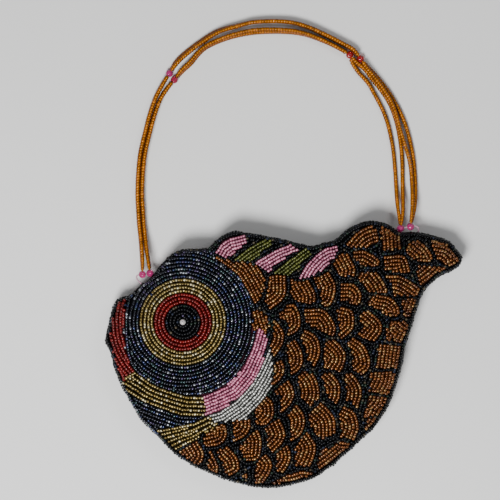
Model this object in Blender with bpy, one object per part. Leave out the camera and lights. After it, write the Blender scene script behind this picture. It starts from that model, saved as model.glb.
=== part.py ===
"""Beaded fish-shaped handbag lying on its back, as Blender 4.5 source.

Metres, +Z up, +X from the fish's nose to its tail. Outlines are tables of picture points,
and BAG_WIDTH sets their size.
"""

import math

import bmesh
import bpy
from mathutils import Matrix, Vector, geometry

# Driving sizes in metres
BAG_WIDTH = 0.2007
GAP = 0.0003
SEAM_Z = 0.0095
FRONT_RISE = 0.00745
FRONT_REACH = 0.020
BACK_DROP = 0.00815
BACK_REACH = 0.013
BACK_THICK = 0.0012
GROUND_THICK = 0.0008
LINING_THICK = 0.0004
LINING_GAP = 0.0004
LINING_INSET = 0.0014
BEAD_LAYER = 0.0018
PEARL_RADIUS = 0.0017
FLATNESS = 0.0002
MERGE = 0.0004
SHORTEST = 0.0016
SEED_CLEAR = 0.0013
GRID_STEP = 0.012
RINGS = (0.0015, 0.005, 0.010, 0.016)

# Rows of sewn beads, as ridges on the scales and round the eye
ROW_PITCH = 0.0021
ROW_GROOVE = 0.0007
ROW_STEP = 0.0036
ROW_CLEAR = 0.0006
EYE_STEP = 0.0055

# Mouth along the fish's back
MOUTH_END = 0.020
MOUTH_DEPTH = 0.018
MOUTH_FULL = 0.004
FRONT_GAPE_SHARE = 0.81
BACK_GAPE_SHARE = 0.742

# Zip, measured along the mouth and across it from the zip line
ZIP_BELOW_CHORD = 0.004
ZIP_START = 0.018
ZIP_END_CLEAR = 0.018
ROW_NEAR = 0.0022
ROW_VALLEY = 0.0027
ROW_FAR = 0.0034
ROW_HALF = 0.00075
TOOTH_PITCH = 0.003
TOOTH_SHARE = 0.6
TAPE_THICK = 0.0005
TAPE_REACH = 0.008
TAPE_START = 0.0155
TAPE_END_CLEAR = 0.0155
TAPE_STEP = 0.006
TAPE_GAP = 0.0005
STOP_LENGTH = 0.0016
SLIDER_AT = 0.0226
SLIDER_LENGTH = 0.0075
SLIDER_PLATE = 0.0007
SLIDER_HALF = 0.0043
SLIDER_POST = 0.0014
SLIDER_SLOT = 0.0005
BRIDGE_RADIUS = 0.00045
BRIDGE_OUT = 0.0015
BRIDGE_HALF = 0.0020
BRIDGE_FOOT = 0.0007
PULL_LENGTH = 0.010
PULL_HALF_WIDTH = 0.0024
PULL_HALF_THICK = 0.0004
EYE_INNER = 0.00078
EYE_OUTER = 0.00125
EYE_HALF_WIDTH = 0.0010

# Strap, its beads as shares of the bag's width
STRAND_SHARE = 0.00548
STRAND_REST = 0.00005
STRAND_CLEAR = 0.0003
STRAND_STEP = 0.0055
BEAD_SHARE = 0.00997
BEAD_REST = 0.00015
END_CLEAR = 0.00045
SPREAD_CLEAR = 0.0002
DROP_LENGTH = 0.028
CROSS_LENGTH = 0.016
LOOP_RADIUS = 0.00045
LOOP_STEP = 0.0012

# Outline, clockwise from the nose in picture points
OUTLINE = (
    (106, 340), (108.3, 331), (111.5, 315), (115, 304), (119, 299), (125.5, 297.4), (133, 293.6),
    (140.8, 286), (148.5, 280.8), (153.6, 275.7), (163.8, 263), (168.9, 258), (175.3, 253.4),
    (183.5, 250.5), (195.9, 249.9), (209, 249.2), (216, 241.8), (225.5, 235.3), (235, 232),
    (244.6, 233.7), (257.4, 235.3), (273.3, 238.5), (287, 241.5), (300, 244.8), (312, 247),
    (323.4, 243.8), (334.8, 241.4), (343.8, 233.6), (353.3, 227.2), (363.7, 223), (371.8, 221.8),
    (384.7, 223.9), (392.4, 228.7), (397, 232), (404.6, 233.6), (414.2, 233), (428.9, 235.5),
    (448, 241.3), (453.8, 247.6), (458.9, 254), (461.2, 258), (458.9, 264.8), (449.3, 271.2),
    (439.7, 275), (430.2, 283.3), (423.6, 290.2), (419.8, 298), (413.8, 315.8), (410.2, 328.3),
    (406.3, 339.7), (403.6, 350.8), (401.2, 363.3), (398.7, 372.9), (394.8, 385.7), (391.6, 395),
    (386, 408), (380, 417.5), (373.2, 427.7), (358, 441), (350, 449.5), (342.6, 454.8),
    (332.9, 464.5), (325.4, 469), (313.8, 477), (294.7, 483), (275.6, 486.5), (256.5, 486),
    (246.5, 484.2), (233.8, 481), (224.2, 478), (207.6, 471.3), (195.5, 466), (183, 458.5),
    (176.4, 453.6), (170, 448), (160, 437), (151, 428.5), (142, 419.5), (136.4, 410.6),
    (131.9, 402.9), (126.8, 393.3), (121.7, 384.4), (115.3, 367.8), (111.8, 353.2),
)
MOUTH_LEFT = (148, 277)
MOUTH_RIGHT = (404, 231)

# Bead fields, later ones lying over earlier ones where they cross
EYE_CENTRE = (183.3, 321.5)
EYE_RINGS = (("gold_ring", 42.5, 26), ("red_ring", 29, 20), ("pupil", 17, 16))
NAVY_REACH = 75.5
FIELDS = (
    ("fin_ground", (
        (205, 238), (206, 258), (222, 264), (244, 268), (258, 270), (268, 275), (285, 279),
        (301, 280.5), (314, 276.5), (327, 268), (338, 254), (347, 238), (330, 225), (235, 222))),
    ("cheek", (
        (110, 378), (135, 380), (150, 395), (170, 405), (208, 407), (208, 424), (182.8, 430),
        (158, 434), (140, 434), (115, 412))),
    ("lips", (
        (98, 300), (117, 297), (131, 288), (150, 296), (150, 366), (137, 370.5), (117, 386.5),
        (108, 388), (96, 345))),
    ("gill_band_lower", (
        (146, 432.2), (158.3, 429.9), (182.8, 425.5), (196, 422.6), (203.5, 420), (206.4, 415.5),
        (212, 413), (220, 424.6), (207, 431.5), (198, 438.5), (184, 444.5), (176.5, 450.5),
        (160, 460), (146, 446))),
    ("gill_band_upper", (
        (117, 386.5), (137, 370.5), (150, 370), (204, 378), (204, 385), (205.4, 414.9),
        (181.5, 414.2), (162.4, 407.5), (146.5, 401.3), (131, 391.6), (122, 384.6), (116, 388.5))),
    ("pink_band", (
        (204, 385), (218, 384), (230, 377), (239.7, 366), (247, 350), (251, 340), (255, 327),
        (262, 327), (267.4, 339.1), (266.8, 350), (258.6, 370.5), (249, 385.5), (236, 398.8),
        (220, 409.9), (205.4, 414.9))),
    ("silver_band", (
        (205.4, 414.9), (220, 409.9), (236, 398.8), (249, 385.5), (258.6, 370.5), (266.8, 350),
        (270.8, 350), (273, 366), (271.4, 383), (267, 395), (257, 406), (246.5, 417.8),
        (231, 419.2), (215.6, 422.2))),
    ("navy", (
        (136, 372), (126, 352), (124, 321), (126, 300), (134, 284), (146, 266), (160, 250),
        (175, 242), (206, 242), (210.5, 251.8), (220, 258.6), (233, 269.5), (243.5, 283),
        (251, 298), (254.6, 313), (254.6, 329), (250.8, 345), (244, 360), (236, 372),
        (228, 380.5), (216, 387.2), (203.6, 391.8), (190, 392.6), (176, 390.5), (160, 384.8),
        (147, 377))),
    ("crescent_upper", (
        (214.5, 254.6), (222, 257.6), (244.6, 262.2), (258, 266.4), (266, 276), (264, 291),
        (257.5, 304), (251.5, 303), (248, 294), (240.5, 281), (231, 269.8), (219, 260))),
    ("crescent_lower", (
        (253, 312), (262.5, 308), (269.6, 320.6), (270.4, 327), (266.8, 336), (258, 330),
        (253, 328.5))),
    ("stripe_pink_front", (
        (216.6, 251), (220, 244), (228, 238.5), (238, 236), (249, 237.4), (243, 244.6),
        (236, 250), (227.4, 256.4))),
    ("stripe_green_front", (
        (236.4, 259), (246, 250), (256, 243.5), (262, 239.8), (275, 242.3), (262, 251),
        (251.5, 259.8))),
    ("stripe_pink_middle", (
        (256.8, 262.4), (266, 256), (277, 249.5), (287, 245), (298, 247.8), (283, 258),
        (268.5, 269.6))),
    ("stripe_green_back", (
        (275.6, 271.6), (290, 259.5), (303, 249.8), (311, 251.8), (303, 261), (289, 273.8))),
    ("stripe_pink_back", (
        (299.8, 275.6), (314, 260.5), (325, 250), (335, 244.6), (332.6, 254), (322, 266),
        (311.6, 273))),
)

# Amber scales, each a closed outline
SCALES = (
    ((271, 276), (285, 276), (285, 293), (280, 301), (270, 308), (265, 299), (268, 292)),
    ((291.5, 279.5), (307.4, 280.2), (314.4, 293), (314.4, 302.5), (299, 302), (291.5, 292)),
    ((315, 278), (328.5, 272.5), (334.8, 286.5), (331, 302.5), (326, 306), (320.8, 302.5),
     (320.8, 291)),
    ((340, 254), (347, 254), (354, 267.4), (353.3, 275), (341.2, 275.7), (333.6, 266)),
    ((347.6, 242), (364.2, 228), (375.7, 226.6), (376.3, 240.6), (367.4, 246.4), (347.6, 245.7)),
    ((353.3, 251.5), (364.8, 251.5), (377.6, 259.7), (377, 265), (362.9, 264.8), (355, 258)),
    ((341.2, 283.3), (352, 284), (359.7, 292.3), (359, 301.8), (355.3, 304.4), (341.2, 299.3)),
    ((359.7, 272.5), (374.4, 272), (379.5, 283.3), (378.2, 290.4), (365.5, 288.4), (359, 280.2)),
    ((378.5, 225.3), (385.5, 225.3), (393, 231), (399.5, 240.6), (399.5, 248.3), (381, 250.8),
     (379.8, 235.5)),
    ((408.5, 244.4), (417.4, 240.6), (427, 249.5), (430.8, 260.4), (417.4, 261), (404, 249.5)),
    ((431.4, 240.6), (448, 244.4), (458, 254.6), (458, 261), (449.3, 266), (439, 263),
     (434.6, 250.8)),
    ((416, 265.5), (444.8, 265.5), (435.3, 276.3), (421.2, 286.5), (416.8, 273.8)),
    ((384.2, 256.6), (402.7, 256.6), (409.7, 273.8), (385.5, 271.2)),
    ((385.5, 274.4), (400.8, 275.7), (419.3, 289), (417.4, 294.8), (394.4, 294.8), (392, 282)),
    ((366.3, 302.8), (376.5, 294.5), (389.3, 297.7), (397, 306), (397.6, 314.2), (389.3, 315.5),
     (372, 305.3)),
    ((401.2, 301.5), (410.2, 298.3), (419, 301.5), (413.3, 316.8), (403.8, 315.5)),
    ((274.4, 320), (279.5, 325.7), (283.4, 333.4), (281.5, 344.2), (273.8, 355.7), (272, 353.8),
     (270, 344.2), (275, 331.5)),
    ((277.6, 313.6), (287.2, 304.7), (294.2, 304.7), (299.3, 315.5), (299.3, 325.7),
     (294.8, 331.5), (288.5, 334.6), (287.8, 328.3), (287.2, 318.7), (281.5, 317.4)),
    ((305, 309), (321, 309), (329, 315.5), (334.4, 325.7), (333.5, 334.6), (324.8, 332.7),
     (315.3, 326.4), (307, 321.3)),
    ((333.2, 310.4), (340.8, 306.6), (351, 310.4), (353, 319.3), (351.7, 328.3), (341.5, 337.8),
     (338.3, 336), (340.8, 329.5), (338.3, 315.5)),
    ((360.6, 311.7), (367.6, 310.4), (379, 320.6), (380.4, 330.8), (373.3, 340.4),
     (363.8, 337.2), (358.7, 333.4), (365, 327), (360, 318.7)),
    ((388.5, 320.6), (402.5, 320.6), (409.5, 328.3), (403.8, 342.3), (384.6, 337.8)),
    ((288.5, 343), (294.8, 339.7), (301.2, 351.2), (302, 362), (297.4, 369.7), (291, 373.5),
     (291, 363.3), (288.5, 360.2)),
    ((300.6, 336), (305, 329.5), (314, 334.6), (319, 344.2), (318.4, 355.7), (313.3, 366),
     (308.2, 359), (307, 347.4)),
    ((325, 340.4), (333.2, 339), (341.5, 347.4), (344.6, 355), (343.4, 363.3), (339.5, 370.4),
     (323.6, 366), (325.5, 350.6)),
    ((347.8, 342.3), (353, 337.2), (363.8, 346), (368.2, 357), (368.2, 366.5), (360.6, 374.2),
     (351, 366.5), (354.2, 357), (351, 347.4)),
    ((376.4, 347.4), (384.6, 343), (403, 347.4), (400, 368.4), (375.7, 366)),
    ((276.4, 361.4), (282, 360.2), (284, 366.5), (281.5, 376), (271.2, 385), (274, 370)),
    ((276, 391), (288.3, 380.2), (292, 386), (293.4, 395.5), (288.3, 404.4), (280.6, 410.8),
     (281.9, 395.5)),
    ((298.5, 377.7), (305.5, 371.3), (313.8, 375), (317.6, 386), (317.6, 395.5), (311.2, 404.4),
     (301, 395.5)),
    ((319.5, 372.6), (329.7, 372), (338.6, 382.8), (338.6, 395.5), (335.5, 403.2), (329, 398.7),
     (326.5, 387.2)),
    ((344.4, 373.8), (350.8, 372.6), (358.5, 382.8), (360.4, 392.3), (357.2, 405.7),
     (352, 400.6), (345.7, 397.4), (346.4, 386)),
    ((370.6, 373.2), (398.5, 371.5), (396, 384.7), (391.6, 393.6), (368.7, 391)),
    ((368.7, 396), (389.7, 398), (386, 408.3), (382, 412.7), (363, 416), (366, 405.7)),
    ((260.2, 401.3), (266.5, 395.5), (272.3, 402), (273, 414.6), (266.5, 423), (257, 422.3),
     (255, 413.4)),
    ((232, 419), (249.3, 416.6), (250, 425.5), (244.8, 434.4), (234.6, 439.5), (233.4, 427.4)),
    ((209, 427.4), (221.9, 423), (225.7, 424.8), (226.4, 433.8), (221.9, 441.4), (209, 445.3),
     (204, 440.2)),
    ((240.4, 446), (257.6, 429.3), (260.8, 437), (260.8, 446.5), (257.6, 457.4), (245.5, 459.3)),
    ((266.5, 427.4), (279.3, 418.5), (284.4, 430.6), (282.5, 440.2), (273, 450.4), (267.8, 442)),
    ((289, 414.6), (296.6, 404.4), (303.6, 414.6), (303.6, 426), (298.5, 435), (291.5, 439),
     (290.8, 421)),
    ((309.3, 414), (320.8, 403.2), (329.7, 410.8), (334.2, 421), (333.5, 431.2), (321.4, 437),
     (316.3, 432.5), (311.2, 424.2)),
    ((339.3, 413.4), (343.8, 405.7), (353.4, 411.5), (357.2, 423), (356.6, 431.2), (353.4, 439),
     (340, 435.7), (341.9, 424.2)),
    ((366, 419.7), (379, 417.2), (373.8, 426), (364.2, 433)),
    ((180.8, 449.7), (189, 443.4), (197.4, 440.2), (203.2, 449.7), (203.2, 457.4), (198, 465),
     (182.8, 457.4)),
    ((210.8, 449.7), (217.8, 463.8), (217.2, 471.4), (208.3, 467), (210.8, 457.4)),
    ((218.5, 450.4), (227.4, 445.3), (235.7, 454.2), (239, 463.8), (237, 470), (227.4, 475.3),
     (222.9, 460.6)),
    ((242, 473.3), (246.5, 470), (248, 479)),
    ((256.4, 463.8), (266, 453.6), (271, 460.6), (270.4, 469), (262.8, 481), (255.7, 483)),
    ((276, 454.2), (287.6, 444.6), (290.2, 454.2), (288.3, 462.5), (282, 471.4), (276.8, 469)),
    ((295.3, 448.5), (307.4, 431.3), (315, 444.6), (312.5, 457.4), (309.3, 464.4),
     (295.3, 463.8)),
    ((272.3, 481.6), (288.3, 474.6), (302.3, 470.2), (313.8, 473.3), (294.6, 482.3), (273, 484.2)),
    ((320.2, 451), (339.5, 440.8), (351.5, 443.3), (349, 449), (320, 472), (317, 464.4)),
)

# Strap: bead places and the strands' routes, from one bead to the next
AXIS_BEADS = {"left_outer": (142.3, 274.35), "left_inner": (149.9, 273.0),
              "right_inner": (400.5, 228.3), "right_outer": (410.5, 226.5)}
REST_BEADS = {"upper_left_outer": (168.9, 72.5), "upper_left_inner": (174.0, 78.9),
              "upper_right_inner": (350.2, 54), "upper_right_outer": (361.1, 57.8)}
STRANDS = (
    ("strand_left_1", "left_outer", "upper_left_outer", "low", (
        (141.6, 262), (140.6, 245.7), (138.3, 225.3), (137.3, 210), (136.6, 196.3),
        (137.1, 175.9), (139.3, 153), (144.6, 130), (148.6, 114.3), (154.6, 97), (161, 84.7))),
    ("strand_left_2", "left_outer", "upper_left_outer", "high", (
        (142.6, 262), (141.3, 245.7), (138.9, 225.3), (137.9, 210), (137.2, 196.3),
        (137.7, 175.9), (139.9, 153), (145.2, 130), (149.2, 114.5), (155.2, 97.4), (161.6, 85))),
    ("strand_left_3", "left_inner", "upper_left_inner", "low", (
        (148.8, 262), (145.8, 245.7), (142.8, 225.3), (141.8, 210), (141.0, 196.3),
        (141.5, 176.2), (143.8, 154), (149, 131.2), (153.2, 115.8), (159, 99.6), (166, 88))),
    ("strand_left_4", "left_inner", "upper_left_inner", "high", (
        (148.2, 262), (146, 245.7), (143.6, 225.3), (142.6, 210), (141.8, 196.3),
        (142.3, 176.4), (144.6, 154), (149.8, 131.4), (153.9, 116), (159.6, 100), (166.6, 88.4))),
    ("strand_top_1", "upper_left_outer", "upper_right_outer", "low", (
        (175, 61.5), (183.4, 53), (200, 40.3), (217.9, 29.6), (238.3, 24), (256, 20.4),
        (285, 20.4), (305.7, 25), (326, 34.2), (344, 43.2), (354, 48.8))),
    ("strand_top_2", "upper_left_outer", "upper_right_outer", "high", (
        (176.6, 62.5), (185, 54.6), (201, 42), (218.8, 31.2), (238.6, 25), (256, 21),
        (285, 20.6), (305.6, 25), (326, 33.8), (344, 43), (354, 48.8))),
    ("strand_top_3", "upper_left_inner", "upper_right_inner", "low", (
        (182, 70.4), (191, 62.2), (200, 51.4), (210.2, 44.1), (230.6, 36.2), (256, 31.4),
        (285, 30.8), (305, 33.4), (325, 40.4), (341.4, 48.2))),
    ("strand_top_4", "upper_left_inner", "upper_right_inner", "high", (
        (181, 69.6), (190, 60.8), (199.4, 50), (210.2, 42.6), (230.6, 34.4), (256, 28.9),
        (285, 28.9), (305, 32.4), (325, 40.2), (341.4, 48.6))),
    ("strand_right_1", "upper_right_inner", "right_inner", "low", (
        (353.2, 62.6), (359.6, 72), (367.8, 81), (374.2, 91.5), (386, 115.3), (393, 143.4),
        (396, 171.4), (397.6, 200.6), (399.4, 216))),
    ("strand_right_2", "upper_right_inner", "right_inner", "crossing", (
        (356.8, 61.4), (366, 69), (373, 78.4), (380.4, 87.6), (391, 104), (397.6, 123),
        (401.4, 143), (403, 161.2), (403.4, 185.3), (403.4, 203), (402.8, 214))),
    ("strand_right_3", "upper_right_outer", "right_outer", "high", (
        (367.2, 66.8), (375.6, 77.4), (384.6, 89.4), (394, 106), (400.6, 128.6),
        (405.2, 143.4), (410.6, 163), (412.6, 185.3), (412.6, 203), (411.6, 214))),
    ("strand_right_4", "upper_right_outer", "right_outer", "low", (
        (368.6, 66.2), (377.4, 75.6), (389.6, 91.2), (400.2, 109.6), (407.8, 128.6),
        (413.6, 153.6), (416.2, 180), (415.6, 203.2), (413.6, 215))),
)
LOOP_LEFT = ((142.1, 284.3), (138.6, 281.2), (136.4, 277.6), (136.9, 275.4), (139.4, 274.87),
             (146.1, 273.68), (152.6, 272.52), (154.4, 272.2))
LOOP_RIGHT = ((395.0, 229.28), (397.2, 228.89), (405.5, 227.41), (413, 226.06), (415.6, 225.9),
              (418.2, 227.6), (418.8, 230.4), (417.4, 232.9))

STRAND_RADIUS = BAG_WIDTH * STRAND_SHARE
STRAND_LOW = STRAND_RADIUS + STRAND_REST
STRAND_HIGH = STRAND_LOW + STRAND_RADIUS * 2 + STRAND_CLEAR
BEAD_RADIUS = BAG_WIDTH * BEAD_SHARE
BEAD_REST_Z = BEAD_RADIUS + BEAD_REST
BEAD_HOLE = LOOP_RADIUS + GAP
END_REACH = BEAD_RADIUS + END_CLEAR
END_SPREAD = STRAND_RADIUS + SPREAD_CLEAR
PIXEL = BAG_WIDTH / (max(x for x, y in OUTLINE) - min(x for x, y in OUTLINE))
MIDDLE = (
    (max(x for x, y in OUTLINE) + min(x for x, y in OUTLINE)) / 2,
    (max(y for x, y in OUTLINE) + min(y for x, y in OUTLINE)) / 2,
)


def at(point):
    """Place in metres of a picture point."""
    return Vector(((point[0] - MIDDLE[0]) * PIXEL, (MIDDLE[1] - point[1]) * PIXEL))


def turned_left(loop):
    """The loop, running anticlockwise."""
    turn = sum(a.cross(b) for a, b in zip(loop, loop[1:] + loop[:1]))
    return loop if turn > 0 else loop[::-1]


def material(name, colour, roughness, metallic=0.0, coat=0.0):
    made = bpy.data.materials.new(name)
    made.use_nodes = True
    shader = made.node_tree.nodes["Principled BSDF"]
    shader.inputs["Base Color"].default_value = (*colour, 1)
    shader.inputs["Roughness"].default_value = roughness
    shader.inputs["Metallic"].default_value = metallic
    shader.inputs["Coat Weight"].default_value = coat
    made.diffuse_color = (*colour, 1)
    return made


def finish(name, mesh, look, origin=None, smooth=False):
    """A named object from mesh data or a bmesh, its origin moved to a joint if given."""
    if isinstance(mesh, bmesh.types.BMesh):
        data = bpy.data.meshes.new(name)
        mesh.to_mesh(data)
        mesh.free()
        mesh = data
    made = bpy.data.objects.new(name, mesh)
    bpy.context.scene.collection.objects.link(made)
    mesh.materials.append(look)
    if origin is not None:
        for vertex in mesh.vertices:
            vertex.co -= origin
        made.location = origin
    for face in mesh.polygons:
        face.use_smooth = smooth
    return made


# Shape of the bag
BORDER = turned_left([at(point) for point in OUTLINE])
CHORD_START = at(MOUTH_LEFT)
ALONG = (at(MOUTH_RIGHT) - CHORD_START).normalized()
ACROSS = Vector((-ALONG.y, ALONG.x))
CHORD_LENGTH = (at(MOUTH_RIGHT) - CHORD_START).length
ZIP_END = CHORD_LENGTH - ZIP_END_CLEAR
TAPE_END = CHORD_LENGTH - TAPE_END_CLEAR


def inset(point, loop=BORDER):
    """Distance inside the loop, negative outside it."""
    nearest = min(
        (point - foot_of(point, a, b)).length for a, b in zip(loop, loop[1:] + loop[:1])
    )
    crossings = sum(
        (a.y > point.y) != (b.y > point.y)
        and point.x < a.x + (b.x - a.x) * (point.y - a.y) / (b.y - a.y)
        for a, b in zip(loop, loop[1:] + loop[:1])
    )
    return nearest if crossings % 2 else -nearest


def foot_of(point, a, b):
    run = b - a
    share = max(0, min(1, (point - a).dot(run) / run.length_squared))
    return a + run * share


def eased(share):
    share = max(0, min(1, share))
    return share * share * (3 - 2 * share)


def domed(depth, reach):
    share = max(0, min(1, depth / reach))
    return (math.sin(math.pi / 2 * share) + math.sqrt(1 - (1 - share) ** 2)) / 2


def gape(point):
    """How far the mouth is open here, 0 to 1."""
    offset = point - CHORD_START
    along = offset.dot(ALONG)
    window = eased(along / MOUTH_END) * eased((CHORD_LENGTH - along) / MOUTH_END)
    return window * eased((offset.dot(ACROSS) + MOUTH_DEPTH) / (MOUTH_DEPTH - MOUTH_FULL))


def front_under(point):
    """Height of the front panel's inner face."""
    dome = domed(inset(point), FRONT_REACH)
    lift = dome + (1 - dome) * FRONT_GAPE_SHARE * gape(point)
    return SEAM_Z + GAP / 2 + FRONT_RISE * lift


def back_over(point):
    """Height of the back panel's inner face."""
    dome = domed(inset(point), BACK_REACH)
    drop = dome + (1 - dome) * BACK_GAPE_SHARE * gape(point)
    return SEAM_Z - GAP / 2 - BACK_DROP * drop


# Plan meshes
def divided(loop, height):
    """The loop with points added where the height bends between two of them."""
    def part(a, b):
        middle = (a + b) / 2
        bend = abs(height(middle) - (height(a) + height(b)) / 2)
        if bend < FLATNESS or (b - a).length < SHORTEST * 2:
            return [a]
        return part(a, middle) + part(middle, b)

    return [p for a, b in zip(loop, loop[1:] + loop[:1]) for p in part(a, b)]


def moved_in(loop, distance):
    """The loop's points moved inside by this distance, without those that come too near another side."""
    found = []
    for before, point, after in zip(loop[-1:] + loop[:-1], loop, loop[1:] + loop[:1]):
        first = (point - before).normalized()
        second = (after - point).normalized()
        normal = (Vector((-first.y, first.x)) + Vector((-second.y, second.x))).normalized()
        cosine = max(normal.dot(Vector((-first.y, first.x))), 1 / 2)
        found.append(point + normal * distance / cosine)
    return found


def seeds(loop, edges, rings):
    """Points inside the loop: rings near its edge and a grid in the middle."""
    found = []

    def keep(point, least):
        clear = all((point - foot_of(point, a, b)).length > SEED_CLEAR for a, b in edges)
        if clear and all((point - other).length > least for other in found):
            found.append(point)

    for depth in rings:
        for point in moved_in(loop, depth):
            if abs(inset(point, loop) - depth) < depth / 20:
                keep(point, max(depth, GRID_STEP / 4) * 2 / 3)
    across = [p.x for p in loop]
    upward = [p.y for p in loop]
    rows = math.ceil((max(upward) - min(upward)) / GRID_STEP)
    columns = math.ceil((max(across) - min(across)) / GRID_STEP)
    for row in range(rows + 1):
        for column in range(columns + 1):
            point = Vector((
                min(across) + (column + row % 2 / 2) * GRID_STEP,
                min(upward) + row * GRID_STEP,
            ))
            if inset(point, loop) > rings[-1]:
                keep(point, GRID_STEP / 2)
    return found


def plan_mesh(loop, fields, height, rings=RINGS):
    """(points, triangles, field of each triangle) of the loop, cut along the fields."""
    loops = [divided(loop, height)] + [divided(field, height) for field in fields]
    edges = [pair for run in loops for pair in zip(run, run[1:] + run[:1])]
    points = [p for run in loops for p in run]
    faces = []
    for run in loops:
        start = faces[-1][-1] + 1 if faces else 0
        faces.append(list(range(start, start + len(run))))
    points += seeds(loop, edges, rings)
    made = geometry.delaunay_2d_cdt(points, [], faces, 1, MERGE)
    inside = [i for i, source in enumerate(made[5]) if 0 in source]
    triangles = [turned_up(made[2][i], made[0]) for i in inside]
    return made[0], triangles, [max(made[5][i]) for i in inside]


def turned_up(triangle, points):
    a, b, c = (points[i] for i in triangle)
    return tuple(triangle) if (b - a).cross(c - a) > 0 else tuple(triangle)[::-1]


def rim_of(triangles):
    """{point: (point before, point after)} round the edge of these triangles."""
    sides = {(t[i], t[i - 2]) for t in triangles for i in range(3)}
    rim = {a: [None, b] for a, b in sides if (b, a) not in sides}
    for a, b in sides:
        if (b, a) not in sides:
            rim[b][0] = a
    return rim


def drawn_in(points, triangles, heights, distance):
    """{point: (x, y, z)} with the rim moved inside by this distance and kept on the surface."""
    rim = rim_of(triangles)
    around = {}
    for triangle in triangles:
        for corner in triangle:
            around.setdefault(corner, []).append(triangle)
    placed = {}
    for i, touching in around.items():
        spot = points[i]
        if i in rim and distance:
            first = (spot - points[rim[i][0]]).normalized()
            second = (points[rim[i][1]] - spot).normalized()
            normal = Vector((-first.y, first.x)) + Vector((-second.y, second.x))
            stretch = max(1 + first.dot(second), 1 / 2)
            spot = spot + normal * distance / stretch
        placed[i] = (*spot, surface_height(spot, points, touching, heights))
    return placed


def surface_height(spot, points, triangles, heights):
    """Height of the flat triangle that holds the spot, or comes nearest to it."""
    best = None
    for triangle in triangles:
        a, b, c = (points[i] for i in triangle)
        area = (b - a).cross(c - a)
        shares = [(c - b).cross(spot - b) / area, (a - c).cross(spot - c) / area]
        shares.append(1 - shares[0] - shares[1])
        if best is None or min(shares) > best[0]:
            best = (min(shares), sum(s * heights[i] for s, i in zip(shares, triangle)))
    return best[1]


def sheet(name, placed, triangles, low, high, look, rows=()):
    """A closed shell on a plan mesh, between two offsets from its heights."""
    shell = bmesh.new()
    bottom = {i: shell.verts.new((p[0], p[1], p[2] + low)) for i, p in placed.items()}
    rim = rim_of(triangles)
    raised = rim if rows else placed
    top = {i: shell.verts.new((*placed[i][:2], placed[i][2] + high)) for i in raised}
    for a, b, c in triangles:
        shell.faces.new((bottom[c], bottom[b], bottom[a]))
        if not rows:
            shell.faces.new((top[a], top[b], top[c]))
    for a, (before, b) in rim.items():
        shell.faces.new((bottom[a], bottom[b], top[b], top[a]))
    if rows:
        ridged(shell, {i: Vector(placed[i][:2]) for i in rim}, rim, top, high, rows)
    return finish(name, shell, look)


# Ridges and grooves of the bead rows
def ridged(shell, rim_spots, rim, top, high, rows):
    """Adds the shell's top face, with points and edges along the rows of beads."""
    numbers = list(rim_spots)
    spots = [rim_spots[i] for i in numbers]
    place = {i: k for k, i in enumerate(numbers)}
    sides = [(place[a], place[b]) for a, (before, b) in rim.items()]
    walls = [(spots[a], spots[b]) for a, b in sides]
    lowered, edges = [], []
    for line, is_groove, keep in rows:
        last = None
        for point in line:
            if not (inside_walls(point, walls) and keep(point) and clear_of(point, spots)):
                last = None
                continue
            spots.append(point)
            lowered.append(is_groove)
            if last is not None and joins_clear(spots[last], point, edges, spots, walls):
                edges.append((last, len(spots) - 1))
            last = len(spots) - 1
    made = geometry.delaunay_2d_cdt(spots, sides + edges, [], 0, MERGE / 1000)
    corners = {}
    for number, (point, sources) in enumerate(zip(made[0], made[3])):
        first = min(sources) if sources else len(spots)
        if first < len(numbers):
            corners[number] = top[numbers[first]]
            continue
        in_groove = first == len(spots) or lowered[first - len(numbers)]
        height = front_under(point) + high - (ROW_GROOVE if in_groove else 0)
        corners[number] = shell.verts.new((*point, height))
    for triangle in made[2]:
        middle = sum((made[0][i] for i in triangle), Vector((0, 0))) / len(triangle)
        if crossings(middle, walls) % 2:
            shell.faces.new([corners[i] for i in turned_up(triangle, made[0])])
    for vertex in [v for v in shell.verts if not v.link_faces]:
        shell.verts.remove(vertex)


def crossings(point, walls):
    return sum(
        (a.y > point.y) != (b.y > point.y)
        and point.x < a.x + (b.x - a.x) * (point.y - a.y) / (b.y - a.y)
        for a, b in walls
    )


def inside_walls(point, walls):
    if not crossings(point, walls) % 2:
        return False
    return all((point - foot_of(point, a, b)).length > ROW_CLEAR for a, b in walls)


def clear_of(point, spots):
    return all((point - other).length > ROW_CLEAR for other in spots)


def joins_clear(start, end, edges, spots, walls):
    """Whether the run between two points crosses no other edge and no wall."""
    middle = (start + end) / 2
    reach = (end - start).length
    if reach > ROW_STEP * 2 + EYE_STEP:
        return False
    near = [(spots[a], spots[b]) for a, b in edges if (spots[a] - middle).length < reach * 2]
    for a, b in near + walls:
        if start in (a, b):
            continue
        if geometry.intersect_line_line_2d(start, end, a, b):
            return False
    return True


def shifted(line, distance, closed=False):
    """The line's points moved to its left."""
    before = line[-1:] + line[:-1] if closed else [2 * line[0] - line[1]] + line[:-1]
    after = line[1:] + line[:1] if closed else line[1:] + [2 * line[-1] - line[-2]]
    found = []
    for last, point, following in zip(before, line, after):
        first = (point - last).normalized()
        second = (following - point).normalized()
        way = Vector((-first.y - second.y, first.x + second.x))
        found.append(point + way * distance / max(1 + first.dot(second), 1 / 2))
    return found


def tail_side(loop):
    """The side of an anticlockwise loop that faces the tail, from its lowest point to its top."""
    low = min(range(len(loop)), key=lambda i: loop[i].y)
    turned = loop[low:] + loop[:low]
    top = max(range(len(turned)), key=lambda i: turned[i].y)
    return turned[:top + 1]


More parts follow.
